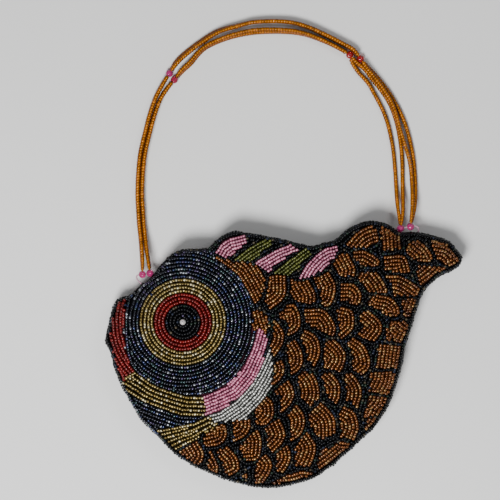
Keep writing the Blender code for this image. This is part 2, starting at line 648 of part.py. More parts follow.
def scale_rows():
    """Rows of the scale field: round each scale, then along it, then between the scales."""
    loops = [turned_left([at(point) for point in shape]) for shape in SCALES]
    rows = [(curve_through(loop + loop[:1], ROW_STEP)[:-1], True, lambda p: True)
            for loop in loops]
    for loop in loops:
        chain = curve_through(tail_side(loop), ROW_STEP)
        keep = lambda p, loop=loop: inset(p, loop) > ROW_CLEAR
        for number in range(1, 16):
            line = shifted(chain, ROW_PITCH * number / 2)
            rows.append((line, number % 2 == 0, keep))
    outside = lambda p: all(inset(p, loop) < -ROW_CLEAR for loop in loops)
    for loop in loops:
        line = shifted(curve_through(loop + loop[:1], ROW_STEP)[:-1], -ROW_PITCH / 2, True)
        rows.append((line, False, outside))
    return rows


def eye_rows(first, last):
    """Rows about the eye between two radii in picture points."""
    rows = []
    centre = at(EYE_CENTRE)
    count = round((last - first) * PIXEL / ROW_PITCH)
    for number in range(1, count * 2):
        radius = first * PIXEL + (last - first) * PIXEL * number / (count * 2)
        sides = max(10, round(math.tau * radius / EYE_STEP))
        turns = [math.tau * (step + number % 2 / 2) / sides for step in range(sides + 1)]
        line = [centre + Vector((math.cos(t), math.sin(t))) * radius for t in turns[:-1]]
        rows.append((line, number % 2 == 0, lambda p: True))
    return rows


def circle(centre, radius, sides):
    return [
        (centre[0] + radius * math.cos(step * math.tau / sides),
         centre[1] + radius * math.sin(step * math.tau / sides))
        for step in range(sides)
    ]


# Front and back
def front(looks):
    """Front panel with its lining, bead fields and pearl; returns its inner face's height."""
    shapes = list(FIELDS)
    shapes += [(name, circle(EYE_CENTRE, r, sides)) for name, r, sides in EYE_RINGS]
    shapes.append((None, circle(EYE_CENTRE, (PEARL_RADIUS + GAP / 2) / PIXEL, 10)))
    loops = [turned_left([at(point) for point in shape]) for name, shape in shapes]
    points, triangles, fields = plan_mesh(BORDER, loops, front_under)
    heights = [front_under(point) for point in points]
    whole = drawn_in(points, triangles, heights, 0)
    sheet("front_panel", whole, triangles, 0, GROUND_THICK, looks["ground"])
    low = -LINING_GAP - LINING_THICK
    lining("lining_front", points, triangles, heights, low, looks)
    names = ["scale_field"] + [name for name, shape in shapes]
    radii = [0] + [radius for name, radius, sides in EYE_RINGS[::-1]]
    rows = {"scale_field": scale_rows(), "navy": eye_rows(radii[-1], NAVY_REACH)}
    for name, first, last in zip(("red_ring", "gold_ring"), radii[1:], radii[2:]):
        rows[name] = eye_rows(first, last)
    low = GROUND_THICK + GAP
    for number, name in enumerate(names):
        own = [t for t, field in zip(triangles, fields) if field == number]
        if name:
            placed = drawn_in(points, own, heights, GAP / 2)
            sheet(name, placed, own, low, low + BEAD_LAYER, looks[name], rows.get(name, ()))
    eye = at(EYE_CENTRE)
    pearl = bmesh.new()
    bmesh.ops.create_uvsphere(pearl, u_segments=14, v_segments=8, radius=PEARL_RADIUS)
    height = front_under(eye) + low + PEARL_RADIUS
    bmesh.ops.translate(pearl, verts=pearl.verts, vec=(*eye, height))
    finish("eye_pearl", pearl, looks["pearl"], smooth=True)
    return lambda spot: surface_height(spot, points, triangles, heights)


def back(looks):
    """Back panel with its lining; returns its inner face's height."""
    points, triangles, fields = plan_mesh(BORDER, [], back_over, RINGS[:3])
    heights = [back_over(point) for point in points]
    placed = drawn_in(points, triangles, heights, 0)
    sheet("back_panel", placed, triangles, -BACK_THICK, 0, looks["satin"])
    lining("lining_back", points, triangles, heights, LINING_GAP, looks)
    return lambda spot: surface_height(spot, points, triangles, heights)


def lining(name, points, triangles, heights, low, looks):
    """A lining parallel to its panel, leaving the rim free."""
    inner = [t for t in triangles if min(inset(points[i]) for i in t) > LINING_INSET]
    placed = drawn_in(points, inner, heights, 0)
    sheet(name, placed, inner, low, low + LINING_THICK, looks["lining"])


# Zip
def zip_point(along, across, height):
    """Place of a point on the zip, across counted outwards from the zip line."""
    spot = CHORD_START + ALONG * along + ACROSS * (across - ZIP_BELOW_CHORD)
    return Vector((*spot, height))


def lofted(name, rings, look, origin=None, smooth=False):
    """A closed body through rings of points, each anticlockwise as seen from the last ring."""
    body = bmesh.new()
    rows = [[body.verts.new(p) for p in ring] for ring in rings]
    for low, high in zip(rows, rows[1:]):
        for a, b, c, d in zip(low, low[1:] + low[:1], high[1:] + high[:1], high):
            body.faces.new((a, b, c, d))
    body.faces.new(rows[0][::-1])
    body.faces.new(rows[-1])
    bmesh.ops.recalc_face_normals(body, faces=body.faces)
    return finish(name, body, look, origin, smooth)


def box(name, along, across, height, look, origin=None):
    """A block between pairs of limits in the zip's directions."""
    corners = ((along[0], across[0]), (along[1], across[0]), (along[1], across[1]),
               (along[0], across[1]))
    return lofted(name, [[zip_point(a, c, z) for a, c in corners] for z in height], look, origin)


def tooth_row(name, side, look):
    """A row of teeth; side is +1 in front of the mouth and -1 behind it."""
    count = round((ZIP_END - ZIP_START) / TOOTH_PITCH)
    pitch = (ZIP_END - ZIP_START) / count
    profile = [(ZIP_END, ROW_FAR), (ZIP_START, ROW_FAR)]
    for number in range(count):
        left = ZIP_START + number * pitch
        right = left + pitch * TOOTH_SHARE
        profile += [(left, ROW_NEAR), (right, ROW_NEAR), (right, ROW_VALLEY)]
        profile.append((left + pitch, ROW_VALLEY))
    rings = [
        [zip_point(along, across, SEAM_Z + side * far) for along, far in profile]
        for across in (-ROW_HALF, ROW_HALF)
    ]
    lofted(name, rings, look)


def tape(name, side, inner_face, look):
    """A zip tape: a leg behind the teeth and a leg under the lining, seen along the mouth."""
    count = round((TAPE_END - TAPE_START) / TAPE_STEP)
    half = TAPE_THICK / 2
    outs = (half, -TAPE_REACH / 3, -TAPE_REACH * 2 / 3, -TAPE_REACH)
    rings = []
    for station in range(count + 1):
        along = TAPE_START + (TAPE_END - TAPE_START) * station / count

        def level(across):
            spot = zip_point(along, across, 0).xy
            return inner_face(spot) - side * (LINING_GAP + LINING_THICK + TAPE_GAP)

        edge = SEAM_Z + side * (ROW_FAR + GAP)
        ring = [(half, edge)] + [(out, level(out)) for out in outs]
        ring += [(out, level(out) - side * TAPE_THICK) for out in outs[:0:-1]]
        ring += [(-half, level(-half) - side * TAPE_THICK), (-half, edge)]
        rings.append([zip_point(along, across, height) for across, height in ring])
    lofted(name, rings, look)


def slider(look):
    """Two plates with a post between the rows and a bridge for the pull, as one body."""
    body = bmesh.new()
    half = SLIDER_LENGTH / 2
    near = ROW_HALF + GAP
    far = near + SLIDER_PLATE
    lip = ROW_FAR + GAP

    def block(along, across, height):
        corners = [
            zip_point(SLIDER_AT + a, c, SEAM_Z + z) for z in height
            for a, c in ((along[0], across[0]), (along[1], across[0]),
                         (along[1], across[1]), (along[0], across[1]))
        ]
        verts = [body.verts.new(p) for p in corners]
        for face in ((3, 2, 1, 0), (4, 5, 6, 7), (0, 1, 5, 4), (1, 2, 6, 5), (2, 3, 7, 6),
                     (3, 0, 4, 7)):
            body.faces.new([verts[i] for i in face])

    block((-half, half), (near, far), (-SLIDER_HALF, SLIDER_HALF))
    data = finish("zip_slider", body, look, zip_point(SLIDER_AT, 0, SEAM_Z))
    parts = (
        ((-half, half), (-far, -near), (-SLIDER_HALF, SLIDER_HALF)),
        ((-half, SLIDER_POST - half), (-near - GAP, near + GAP), (-SLIDER_POST, SLIDER_POST)),
        ((-half, half), (SLIDER_SLOT, near + GAP), (lip, SLIDER_HALF)),
        ((-half, half), (SLIDER_SLOT, near + GAP), (-SLIDER_HALF, -lip)),
        ((-half, half), (-near - GAP, -SLIDER_SLOT), (lip, SLIDER_HALF)),
        ((-half, half), (-near - GAP, -SLIDER_SLOT), (-SLIDER_HALF, -lip)),
        ((-BRIDGE_FOOT, BRIDGE_FOOT), (near, far + BRIDGE_OUT + BRIDGE_RADIUS),
         (BRIDGE_HALF - BRIDGE_FOOT, BRIDGE_HALF)),
        ((-BRIDGE_FOOT, BRIDGE_FOOT), (near, far + BRIDGE_OUT + BRIDGE_RADIUS),
         (-BRIDGE_HALF, BRIDGE_FOOT - BRIDGE_HALF)),
    )
    for number, limits in enumerate(parts):
        body = bmesh.new()
        block(*limits)
        joined(data, finish(f"slider_part_{number}", body, look), number)
    bar = rod(BRIDGE_RADIUS, BRIDGE_HALF - BRIDGE_FOOT / 2, 10)
    centre = zip_point(SLIDER_AT, far + BRIDGE_OUT, SEAM_Z)
    bmesh.ops.translate(bar, verts=bar.verts, vec=centre)
    joined(data, finish("slider_bar", bar, look), len(parts))
    return centre


def rod(radius, half, sides):
    """An upright cylinder about the origin."""
    made = bmesh.new()
    bmesh.ops.create_cone(
        made, cap_ends=True, segments=sides, radius1=radius, radius2=radius, depth=half * 2
    )
    return made


def joined(whole, part, number, operation="UNION"):
    """Adds the part to the whole, or takes it away, with a Boolean."""
    step = whole.modifiers.new(f"step_{number}", "BOOLEAN")
    step.operation = operation
    step.solver = "EXACT"
    step.object = part
    part.hide_render = True
    part.display_type = "WIRE"


def pull(centre, look):
    """A flat tab with an eye round the slider's bridge bar."""
    across = ACROSS.to_3d()
    along = ALONG.to_3d()
    up = Vector((0, 0, 1))

    def place(a, c, z):
        return centre + along * a + across * c + up * z

    outer = [
        (EYE_OUTER * math.cos(step * math.tau / 16), EYE_OUTER * math.sin(step * math.tau / 16))
        for step in range(16)
    ]
    rings = [
        [place(a, c, z) for a, c in outer] for z in (-EYE_HALF_WIDTH, EYE_HALF_WIDTH)
    ]
    whole = lofted("zip_pull", rings, look, centre)
    near = (EYE_INNER + EYE_OUTER) / 2
    thick = PULL_HALF_THICK
    steps = ((near, EYE_HALF_WIDTH), (EYE_OUTER, EYE_HALF_WIDTH),
             (EYE_OUTER + PULL_HALF_WIDTH, PULL_HALF_WIDTH), (PULL_LENGTH, PULL_HALF_WIDTH))
    rings = [
        [place(-thick, c, -z), place(thick, c, -z), place(thick, c, z), place(-thick, c, z)]
        for c, z in steps
    ]
    joined(whole, lofted("pull_tab", rings, look), 0)
    hole = rod(EYE_INNER, PULL_HALF_WIDTH, 16)
    bmesh.ops.translate(hole, verts=hole.verts, vec=centre)
    joined(whole, finish("pull_hole", hole, look), 1, "DIFFERENCE")


def zip_parts(looks, front_face, back_face):
    tooth_row("zip_teeth_front", 1, looks["teeth"])
    tooth_row("zip_teeth_back", -1, looks["teeth"])
    tape("zip_tape_front", 1, front_face, looks["tape"])
    tape("zip_tape_back", -1, back_face, looks["tape"])
    pull(slider(looks["metal"]), looks["metal"])
    stop = (ZIP_START - GAP - STOP_LENGTH, ZIP_START - GAP)
    thick = (-ROW_HALF, ROW_HALF)
    box("zip_bottom_stop", stop, thick, (SEAM_Z - ROW_FAR, SEAM_Z + ROW_FAR), looks["metal"])
    end = (ZIP_END + GAP, ZIP_END + GAP + STOP_LENGTH)
    top = (SEAM_Z + ROW_NEAR, SEAM_Z + ROW_FAR)
    box("zip_top_stop_front", end, thick, top, looks["metal"])
    top = (SEAM_Z - ROW_FAR, SEAM_Z - ROW_NEAR)
    box("zip_top_stop_back", end, thick, top, looks["metal"])


# Strap
def bead_place(name):
    if name in AXIS_BEADS:
        return Vector((*at(AXIS_BEADS[name]), SEAM_Z))
    return Vector((*at(REST_BEADS[name]), BEAD_REST_Z))


def curve_through(points, step):
    """Points about one step apart on a smooth curve through the given ones."""
    runs = [2 * points[0] - points[1], *points, 2 * points[-1] - points[-2]]
    found = []
    for a, b, c, d in zip(runs, runs[1:], runs[2:], runs[3:]):
        count = max(1, round((c - b).length / step))
        for number in range(count):
            t = number / count
            found.append(
                ((2 * b) + (c - a) * t + (2 * a - 5 * b + 4 * c - d) * t ** 2
                 + (3 * b - a - 3 * c + d) * t ** 3) / 2
            )
    return [*found, points[-1]]


def strand_height(spot, start, end, level):
    """Height on a strand's route: on the table, and rising to the bead at each end."""
    height = STRAND_HIGH if level == "high" else STRAND_LOW
    for name in (start, end):
        if name in AXIS_BEADS:
            away = (spot - at(AXIS_BEADS[name])).length / DROP_LENGTH
            raised = SEAM_Z + (-END_SPREAD if level == "low" else END_SPREAD)
        else:
            away = (spot - at(REST_BEADS[name])).length / CROSS_LENGTH
            raised = height if level == "low" else STRAND_HIGH
        height += (raised - height) * (1 - eased(away))
    return height


def strand_route(start, end, level, route):
    """Centre line of a strand, from one bead's surface to the other's."""
    spots = [at(point) for point in route]
    first, last = bead_place(start).xy, bead_place(end).xy
    spots.insert(0, first + (spots[0] - first).normalized() * END_REACH)
    spots.append(last + (spots[-1] - last).normalized() * END_REACH)
    smooth = curve_through(spots, STRAND_STEP)
    return [(*spot, strand_height(spot, start, end, level)) for spot in smooth]


def swings(thing, hinge):
    """Hangs a piece of the strap on the empty at its hinge, without moving it."""
    thing.parent = hinge
    thing.matrix_parent_inverse = Matrix.Translation(-hinge.location)


def tube(name, points, radius, look):
    curve = bpy.data.curves.new(name, "CURVE")
    curve.dimensions = "3D"
    curve.bevel_depth = radius
    curve.bevel_resolution = 2
    curve.use_fill_caps = True
    run = curve.splines.new("POLY")
    run.points.add(len(points) - 1)
    for knot, point in zip(run.points, points):
        knot.co = (*point, 1)
    made = bpy.data.objects.new(name, curve)
    bpy.context.scene.collection.objects.link(made)
    curve.materials.append(look)
    return made


def round_bead(name, place, look, bored):
    """A pink bead; the end ones are bored along the thread they swing on."""
    ball = bmesh.new()
    bmesh.ops.create_uvsphere(ball, u_segments=14, v_segments=8, radius=BEAD_RADIUS)
    whole = finish(name, ball, look, smooth=True)
    whole.location = place
    if bored:
        hole = finish(f"{name}_hole", rod(BEAD_HOLE, BEAD_RADIUS + GAP, 10), look)
        hole.location = place
        hole.rotation_euler = (0, math.pi / 2, math.atan2(ALONG_AXIS.y, ALONG_AXIS.x))
        joined(whole, hole, 0, "DIFFERENCE")
    return whole


ALONG_AXIS = (at(AXIS_BEADS["right_inner"]) - at(AXIS_BEADS["left_inner"])).normalized()


def strap(looks):
    hinge = bpy.data.objects.new("strap_hinge", None)
    bpy.context.scene.collection.objects.link(hinge)
    hinge.location = bead_place("left_inner")
    for name, start, end, level, route in STRANDS:
        points = strand_route(start, end, level, route)
        swings(tube(name, points, STRAND_RADIUS, looks["amber"]), hinge)
    for name in (*AXIS_BEADS, *REST_BEADS):
        bored = name in AXIS_BEADS
        ball = round_bead(f"bead_{name}", bead_place(name), looks["pink_bead"], bored)
        swings(ball, hinge)
    for name, route in (("thread_loop_left", LOOP_LEFT), ("thread_loop_right", LOOP_RIGHT)):
        spots = curve_through([at(point) for point in route], LOOP_STEP)
        tube(name, [(*spot, SEAM_Z) for spot in spots], LOOP_RADIUS, looks["thread"])


def all_looks():
    return {
        "ground": material("black_cloth", (0.015, 0.015, 0.018), 0.8),
        "satin": material("black_satin", (0.02, 0.02, 0.024), 0.45),
        "lining": material("lining_satin", (0.05, 0.05, 0.06), 0.4),
        "scale_field": material("black_and_amber_beads", (0.09, 0.05, 0.025), 0.15, coat=1),
        "fin_ground": material("black_beads", (0.012, 0.013, 0.016), 0.12, coat=1),
        "lips": material("red_beads", (0.45, 0.01, 0.015), 0.15, coat=1),
        "cheek": material("cheek_beads", (0.02, 0.025, 0.06), 0.12, coat=1),
        "navy": material("dark_blue_beads", (0.02, 0.03, 0.07), 0.12, coat=1),
        "gold_ring": material("olive_ring_beads", (0.42, 0.33, 0.12), 0.2, coat=1),
        "gill_band_upper": material("upper_gill_beads", (0.42, 0.33, 0.12), 0.2, coat=1),
        "gill_band_lower": material("lower_gill_beads", (0.40, 0.31, 0.11), 0.2, coat=1),
        "red_ring": material("red_ring_beads", (0.45, 0.01, 0.02), 0.15, coat=1),
        "pupil": material("pupil_beads", (0.008, 0.008, 0.01), 0.1, coat=1),
        "pink_band": material("pink_band_beads", (0.75, 0.12, 0.3), 0.18, coat=1),
        "silver_band": material("silver_band_beads", (0.6, 0.6, 0.62), 0.15, coat=1),
        "crescent_upper": material("upper_crescent_beads", (0.5, 0.2, 0.03), 0.15, coat=1),
        "crescent_lower": material("lower_crescent_beads", (0.5, 0.2, 0.03), 0.15, coat=1),
        "stripe_pink_front": material("front_pink_beads", (0.7, 0.1, 0.28), 0.18, coat=1),
        "stripe_pink_middle": material("middle_pink_beads", (0.7, 0.1, 0.28), 0.18, coat=1),
        "stripe_pink_back": material("back_pink_beads", (0.7, 0.1, 0.28), 0.18, coat=1),
        "stripe_green_front": material("front_green_beads", (0.25, 0.28, 0.06), 0.18, coat=1),
        "stripe_green_back": material("back_green_beads", (0.25, 0.28, 0.06), 0.18, coat=1),
        "pearl": material("pearl", (0.8, 0.78, 0.74), 0.2, coat=1),
        "teeth": material("zip_teeth", (0.03, 0.03, 0.03), 0.3),
        "tape": material("zip_tape", (0.02, 0.02, 0.022), 0.85),
        "metal": material("zip_metal", (0.55, 0.5, 0.4), 0.3, metallic=1),
        "amber": material("amber_beads", (0.75, 0.32, 0.04), 0.12, coat=1),
        "pink_bead": material("round_pink_beads", (0.6, 0.05, 0.2), 0.15, coat=1),
        "thread": material("black_thread", (0.02, 0.02, 0.02), 0.7),
    }


def clear_scene():
    for thing in list(bpy.data.objects):
        bpy.data.objects.remove(thing)


def main():
    clear_scene()
    looks = all_looks()
    zip_parts(looks, front(looks), back(looks))
    strap(looks)


main()
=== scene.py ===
"""Looks of a beaded fish-shaped handbag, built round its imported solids, in metres."""

import math

import bmesh
import bpy
import numpy as np
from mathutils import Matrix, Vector, geometry


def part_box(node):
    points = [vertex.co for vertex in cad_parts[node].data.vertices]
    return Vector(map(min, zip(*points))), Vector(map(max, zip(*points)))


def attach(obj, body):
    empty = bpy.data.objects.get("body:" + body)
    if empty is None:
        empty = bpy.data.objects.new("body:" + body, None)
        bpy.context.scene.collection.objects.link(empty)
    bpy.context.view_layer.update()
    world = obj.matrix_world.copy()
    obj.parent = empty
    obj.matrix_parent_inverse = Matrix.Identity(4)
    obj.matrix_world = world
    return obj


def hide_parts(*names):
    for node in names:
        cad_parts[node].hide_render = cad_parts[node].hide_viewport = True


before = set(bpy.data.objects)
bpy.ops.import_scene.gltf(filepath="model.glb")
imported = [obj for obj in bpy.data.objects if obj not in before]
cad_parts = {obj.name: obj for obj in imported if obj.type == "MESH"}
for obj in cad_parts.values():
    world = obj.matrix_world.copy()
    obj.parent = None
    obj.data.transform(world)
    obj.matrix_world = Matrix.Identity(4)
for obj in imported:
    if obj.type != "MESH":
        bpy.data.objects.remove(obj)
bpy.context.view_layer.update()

# Sizes of the solids, in metres
BAG_WIDTH = 0.2007
GAP = 0.0003
SEAM_Z = 0.0095
FRONT_RISE = 0.00745
FRONT_REACH = 0.020
BACK_DROP = 0.00815
BACK_REACH = 0.013
BACK_THICK = 0.0012
GROUND_THICK = 0.0008
LINING_THICK = 0.0004
LINING_GAP = 0.0004
LINING_INSET = 0.0014
PEARL_RADIUS = 0.0017

# Mouth along the fish's back
MOUTH_END = 0.020
MOUTH_DEPTH = 0.018
MOUTH_FULL = 0.004
FRONT_GAPE_SHARE = 0.81
BACK_GAPE_SHARE = 0.742

# Zip, measured along the mouth and across it from the zip line
ZIP_BELOW_CHORD = 0.004
ZIP_START = 0.018
ZIP_END_CLEAR = 0.018
ROW_NEAR = 0.0022
ROW_VALLEY = 0.0027
ROW_FAR = 0.0034
ROW_HALF = 0.00075
TOOTH_PITCH = 0.003
TOOTH_SHARE = 0.6
TAPE_THICK = 0.0005
TAPE_REACH = 0.008
TAPE_START = 0.0155
TAPE_END_CLEAR = 0.0155
TAPE_GAP = 0.0005
TAPE_STATIONS = 96
TAPE_RIBS = 12

# Strap, its beads as shares of the bag's width
STRAND_SHARE = 0.00548
STRAND_REST = 0.00005
STRAND_CLEAR = 0.0003
STRAND_STEP = 0.0055
BEAD_SHARE = 0.00997
BEAD_REST = 0.00015
END_CLEAR = 0.00045
SPREAD_CLEAR = 0.0002
DROP_LENGTH = 0.028
CROSS_LENGTH = 0.016
LOOP_RADIUS = 0.00045
LOOP_STEP = 0.0012

# Outline, clockwise from the nose in picture points
OUTLINE = (
    (106, 340), (108.3, 331), (111.5, 315), (115, 304), (119, 299), (125.5, 297.4), (133, 293.6),
    (140.8, 286), (148.5, 280.8), (153.6, 275.7), (163.8, 263), (168.9, 258), (175.3, 253.4),
    (183.5, 250.5), (195.9, 249.9), (209, 249.2), (216, 241.8), (225.5, 235.3), (235, 232),
    (244.6, 233.7), (257.4, 235.3), (273.3, 238.5), (287, 241.5), (300, 244.8), (312, 247),
    (323.4, 243.8), (334.8, 241.4), (343.8, 233.6), (353.3, 227.2), (363.7, 223), (371.8, 221.8),
    (384.7, 223.9), (392.4, 228.7), (397, 232), (404.6, 233.6), (414.2, 233), (428.9, 235.5),
    (448, 241.3), (453.8, 247.6), (458.9, 254), (461.2, 258), (458.9, 264.8), (449.3, 271.2),
    (439.7, 275), (430.2, 283.3), (423.6, 290.2), (419.8, 298), (413.8, 315.8), (410.2, 328.3),
    (406.3, 339.7), (403.6, 350.8), (401.2, 363.3), (398.7, 372.9), (394.8, 385.7), (391.6, 395),
    (386, 408), (380, 417.5), (373.2, 427.7), (358, 441), (350, 449.5), (342.6, 454.8),
    (332.9, 464.5), (325.4, 469), (313.8, 477), (294.7, 483), (275.6, 486.5), (256.5, 486),
    (246.5, 484.2), (233.8, 481), (224.2, 478), (207.6, 471.3), (195.5, 466), (183, 458.5),
    (176.4, 453.6), (170, 448), (160, 437), (151, 428.5), (142, 419.5), (136.4, 410.6),
    (131.9, 402.9), (126.8, 393.3), (121.7, 384.4), (115.3, 367.8), (111.8, 353.2),
)
MOUTH_LEFT = (148, 277)
MOUTH_RIGHT = (404, 231)

# Eye: centre and radii of its rings
EYE_CENTRE = (183.3, 321.5)
EYE_RINGS = (("gold_ring", 42.5), ("red_ring", 29), ("pupil", 17))

# Edges that two outlines share
EYE_EDGE = (
    (210.5, 251.8), (220, 258.6), (233, 269.5), (243.5, 283), (251, 298), (254.6, 313),
    (254.6, 329), (250.8, 345), (244, 360), (236, 372), (228, 380.5), (216, 387.2),
    (203.6, 391.8), (190, 392.6), (176, 390.5), (160, 384.8), (147, 377),
)
PINK_EDGE = ((266.8, 350), (258.6, 370.5), (249, 385.5), (236, 398.8), (220, 409.9),
             (205.4, 414.9))

# Bead fields, later ones lying over earlier ones where they cross
FIELDS = {
    "fin_ground": (
        (205, 238), (206, 258), (222, 264), (244, 268), (258, 270), (268, 275), (285, 279),
        (301, 280.5), (314, 276.5), (327, 268), (338, 254), (347, 238), (330, 225), (235, 222)),
    "cheek": (
        (110, 378), (135, 380), (150, 395), (170, 405), (208, 407), (208, 424), (182.8, 430),
        (158, 434), (140, 434), (115, 412)),
    "lips": (
        (98, 300), (117, 297), (131, 288), (150, 296), (150, 366), (137, 370.5), (117, 386.5),
        (108, 388), (96, 345)),
    "gill_band_lower": (
        (146, 432.2), (158.3, 429.9), (182.8, 425.5), (196, 422.6), (203.5, 420), (206.4, 415.5),
        (212, 413), (220, 424.6), (207, 431.5), (198, 438.5), (184, 444.5), (176.5, 450.5),
        (160, 460), (146, 446)),
    "gill_band_upper": (
        (117, 386.5), (137, 370.5), (150, 370), (204, 378), (204, 385), (205.4, 414.9),
        (181.5, 414.2), (162.4, 407.5), (146.5, 401.3), (131, 391.6), (122, 384.6), (116, 388.5)),
    "pink_band": (
        (204, 385), (218, 384), (230, 377), (239.7, 366), (247, 350), (251, 340), (255, 327),
        (262, 327), (267.4, 339.1), *PINK_EDGE),
    "silver_band": (
        *PINK_EDGE[::-1], (270.8, 350), (273, 366), (271.4, 383), (267, 395), (257, 406),
        (246.5, 417.8), (231, 419.2), (215.6, 422.2)),
    "navy": (
        (136, 372), (126, 352), (124, 321), (126, 300), (134, 284), (146, 266), (160, 250),
        (175, 242), (206, 242), *EYE_EDGE),
    "crescent_upper": (
        (214.5, 254.6), (222, 257.6), (244.6, 262.2), (258, 266.4), (266, 276), (264, 291),
        (257.5, 304), (251.5, 303), (248, 294), (240.5, 281), (231, 269.8), (219, 260)),
    "crescent_lower": (
        (253, 312), (262.5, 308), (269.6, 320.6), (270.4, 327), (266.8, 336), (258, 330),
        (253, 328.5)),
    "stripe_pink_front": (
        (216.6, 251), (220, 244), (228, 238.5), (238, 236), (249, 237.4), (243, 244.6),
        (236, 250), (227.4, 256.4)),
    "stripe_green_front": (
        (236.4, 259), (246, 250), (256, 243.5), (262, 239.8), (275, 242.3), (262, 251),
        (251.5, 259.8)),
    "stripe_pink_middle": (
        (256.8, 262.4), (266, 256), (277, 249.5), (287, 245), (298, 247.8), (283, 258),
        (268.5, 269.6)),
    "stripe_green_back": (
        (275.6, 271.6), (290, 259.5), (303, 249.8), (311, 251.8), (303, 261), (289, 273.8)),
    "stripe_pink_back": (
        (300, 277), (306.4, 264.6), (314.6, 255.2), (325, 248), (336.6, 245.6), (337.4, 250),
        (330, 260), (321, 268.6), (311.4, 274.6)),
}

# Strap: bead places and the strands' routes, from one bead to the next
AXIS_BEADS = {"left_outer": (142.3, 274.35), "left_inner": (149.9, 273.0),
              "right_inner": (400.5, 228.3), "right_outer": (410.5, 226.5)}
REST_BEADS = {"upper_left_outer": (168.9, 72.5), "upper_left_inner": (174.0, 78.9),
              "upper_right_inner": (350.2, 54), "upper_right_outer": (361.1, 57.8)}
STRANDS = (
    ("strand_left_1", "left_outer", "upper_left_outer", "low", (
        (141.6, 262), (140.6, 245.7), (138.3, 225.3), (137.3, 210), (136.6, 196.3),
        (137.1, 175.9), (139.3, 153), (144.6, 130), (148.6, 114.3), (154.6, 97), (161, 84.7))),
    ("strand_left_2", "left_outer", "upper_left_outer", "high", (
        (142.6, 262), (141.3, 245.7), (138.9, 225.3), (137.9, 210), (137.2, 196.3),
        (137.7, 175.9), (139.9, 153), (145.2, 130), (149.2, 114.5), (155.2, 97.4), (161.6, 85))),
    ("strand_left_3", "left_inner", "upper_left_inner", "low", (
        (148.8, 262), (145.8, 245.7), (142.8, 225.3), (141.8, 210), (141.0, 196.3),
        (141.5, 176.2), (143.8, 154), (149, 131.2), (153.2, 115.8), (159, 99.6), (166, 88))),
    ("strand_left_4", "left_inner", "upper_left_inner", "high", (
        (148.2, 262), (146, 245.7), (143.6, 225.3), (142.6, 210), (141.8, 196.3),
        (142.3, 176.4), (144.6, 154), (149.8, 131.4), (153.9, 116), (159.6, 100), (166.6, 88.4))),
    ("strand_top_1", "upper_left_outer", "upper_right_outer", "low", (
        (175, 61.5), (183.4, 53), (200, 40.3), (217.9, 29.6), (238.3, 24), (256, 20.4),
        (285, 20.4), (305.7, 25), (326, 34.2), (344, 43.2), (354, 48.8))),
    ("strand_top_2", "upper_left_outer", "upper_right_outer", "high", (
        (176.6, 62.5), (185, 54.6), (201, 42), (218.8, 31.2), (238.6, 25), (256, 21),
        (285, 20.6), (305.6, 25), (326, 33.8), (344, 43), (354, 48.8))),
    ("strand_top_3", "upper_left_inner", "upper_right_inner", "low", (
        (182, 70.4), (191, 62.2), (200, 51.4), (210.2, 44.1), (230.6, 36.2), (256, 31.4),
        (285, 30.8), (305, 33.4), (325, 40.4), (341.4, 48.2))),
    ("strand_top_4", "upper_left_inner", "upper_right_inner", "high", (
        (181, 69.6), (190, 60.8), (199.4, 50), (210.2, 42.6), (230.6, 34.4), (256, 28.9),
        (285, 28.9), (305, 32.4), (325, 40.2), (341.4, 48.6))),
    ("strand_right_1", "upper_right_inner", "right_inner", "low", (
        (353.2, 62.6), (359.6, 72), (367.8, 81), (374.2, 91.5), (386, 115.3), (393, 143.4),
        (396, 171.4), (397.6, 200.6), (399.4, 216))),
    ("strand_right_2", "upper_right_inner", "right_inner", "crossing", (
        (356.8, 61.4), (366, 69), (373, 78.4), (380.4, 87.6), (391, 104), (397.6, 123),
        (401.4, 143), (403, 161.2), (403.4, 185.3), (403.4, 203), (402.8, 214))),
    ("strand_right_3", "upper_right_outer", "right_outer", "high", (
        (367.2, 66.8), (375.6, 77.4), (384.6, 89.4), (394, 106), (400.6, 128.6),
        (405.2, 143.4), (410.6, 163), (412.6, 185.3), (412.6, 203), (411.6, 214))),
    ("strand_right_4", "upper_right_outer", "right_outer", "low", (
        (368.6, 66.2), (377.4, 75.6), (389.6, 91.2), (400.2, 109.6), (407.8, 128.6),
        (413.6, 153.6), (416.2, 180), (415.6, 203.2), (413.6, 215))),
)
LOOP_LEFT = ((142.1, 284.3), (138.6, 281.2), (136.4, 277.6), (136.9, 275.4), (139.4, 274.87),
             (146.1, 273.68), (152.6, 272.52), (154.4, 272.2))
LOOP_RIGHT = ((395.0, 229.28), (397.2, 228.89), (405.5, 227.41), (413, 226.06), (415.6, 225.9),
              (418.2, 227.6), (418.8, 230.4), (417.4, 232.9))

STRAND_RADIUS = BAG_WIDTH * STRAND_SHARE
STRAND_LOW = STRAND_RADIUS + STRAND_REST
STRAND_HIGH = STRAND_LOW + STRAND_RADIUS * 2 + STRAND_CLEAR
BEAD_RADIUS = BAG_WIDTH * BEAD_SHARE
BEAD_REST_Z = BEAD_RADIUS + BEAD_REST
BEAD_HOLE = LOOP_RADIUS + GAP
END_REACH = BEAD_RADIUS + END_CLEAR
END_SPREAD = STRAND_RADIUS + SPREAD_CLEAR
LEFT_TOP, RIGHT_LOW = np.min(OUTLINE, 0), np.max(OUTLINE, 0)
PIXEL = BAG_WIDTH / (RIGHT_LOW[0] - LEFT_TOP[0])
MIDDLE = (LEFT_TOP + RIGHT_LOW) / 2

# Sewn beads and the cloth under them, in metres
BEAD_LENGTH = 0.0014
BEAD_WIDE = 0.00208
BEAD_TOP = 0.0011
CLOTH_IN = 0.0009
RIM_IN = 0.00035
OUTLINE_IN = 0.00001

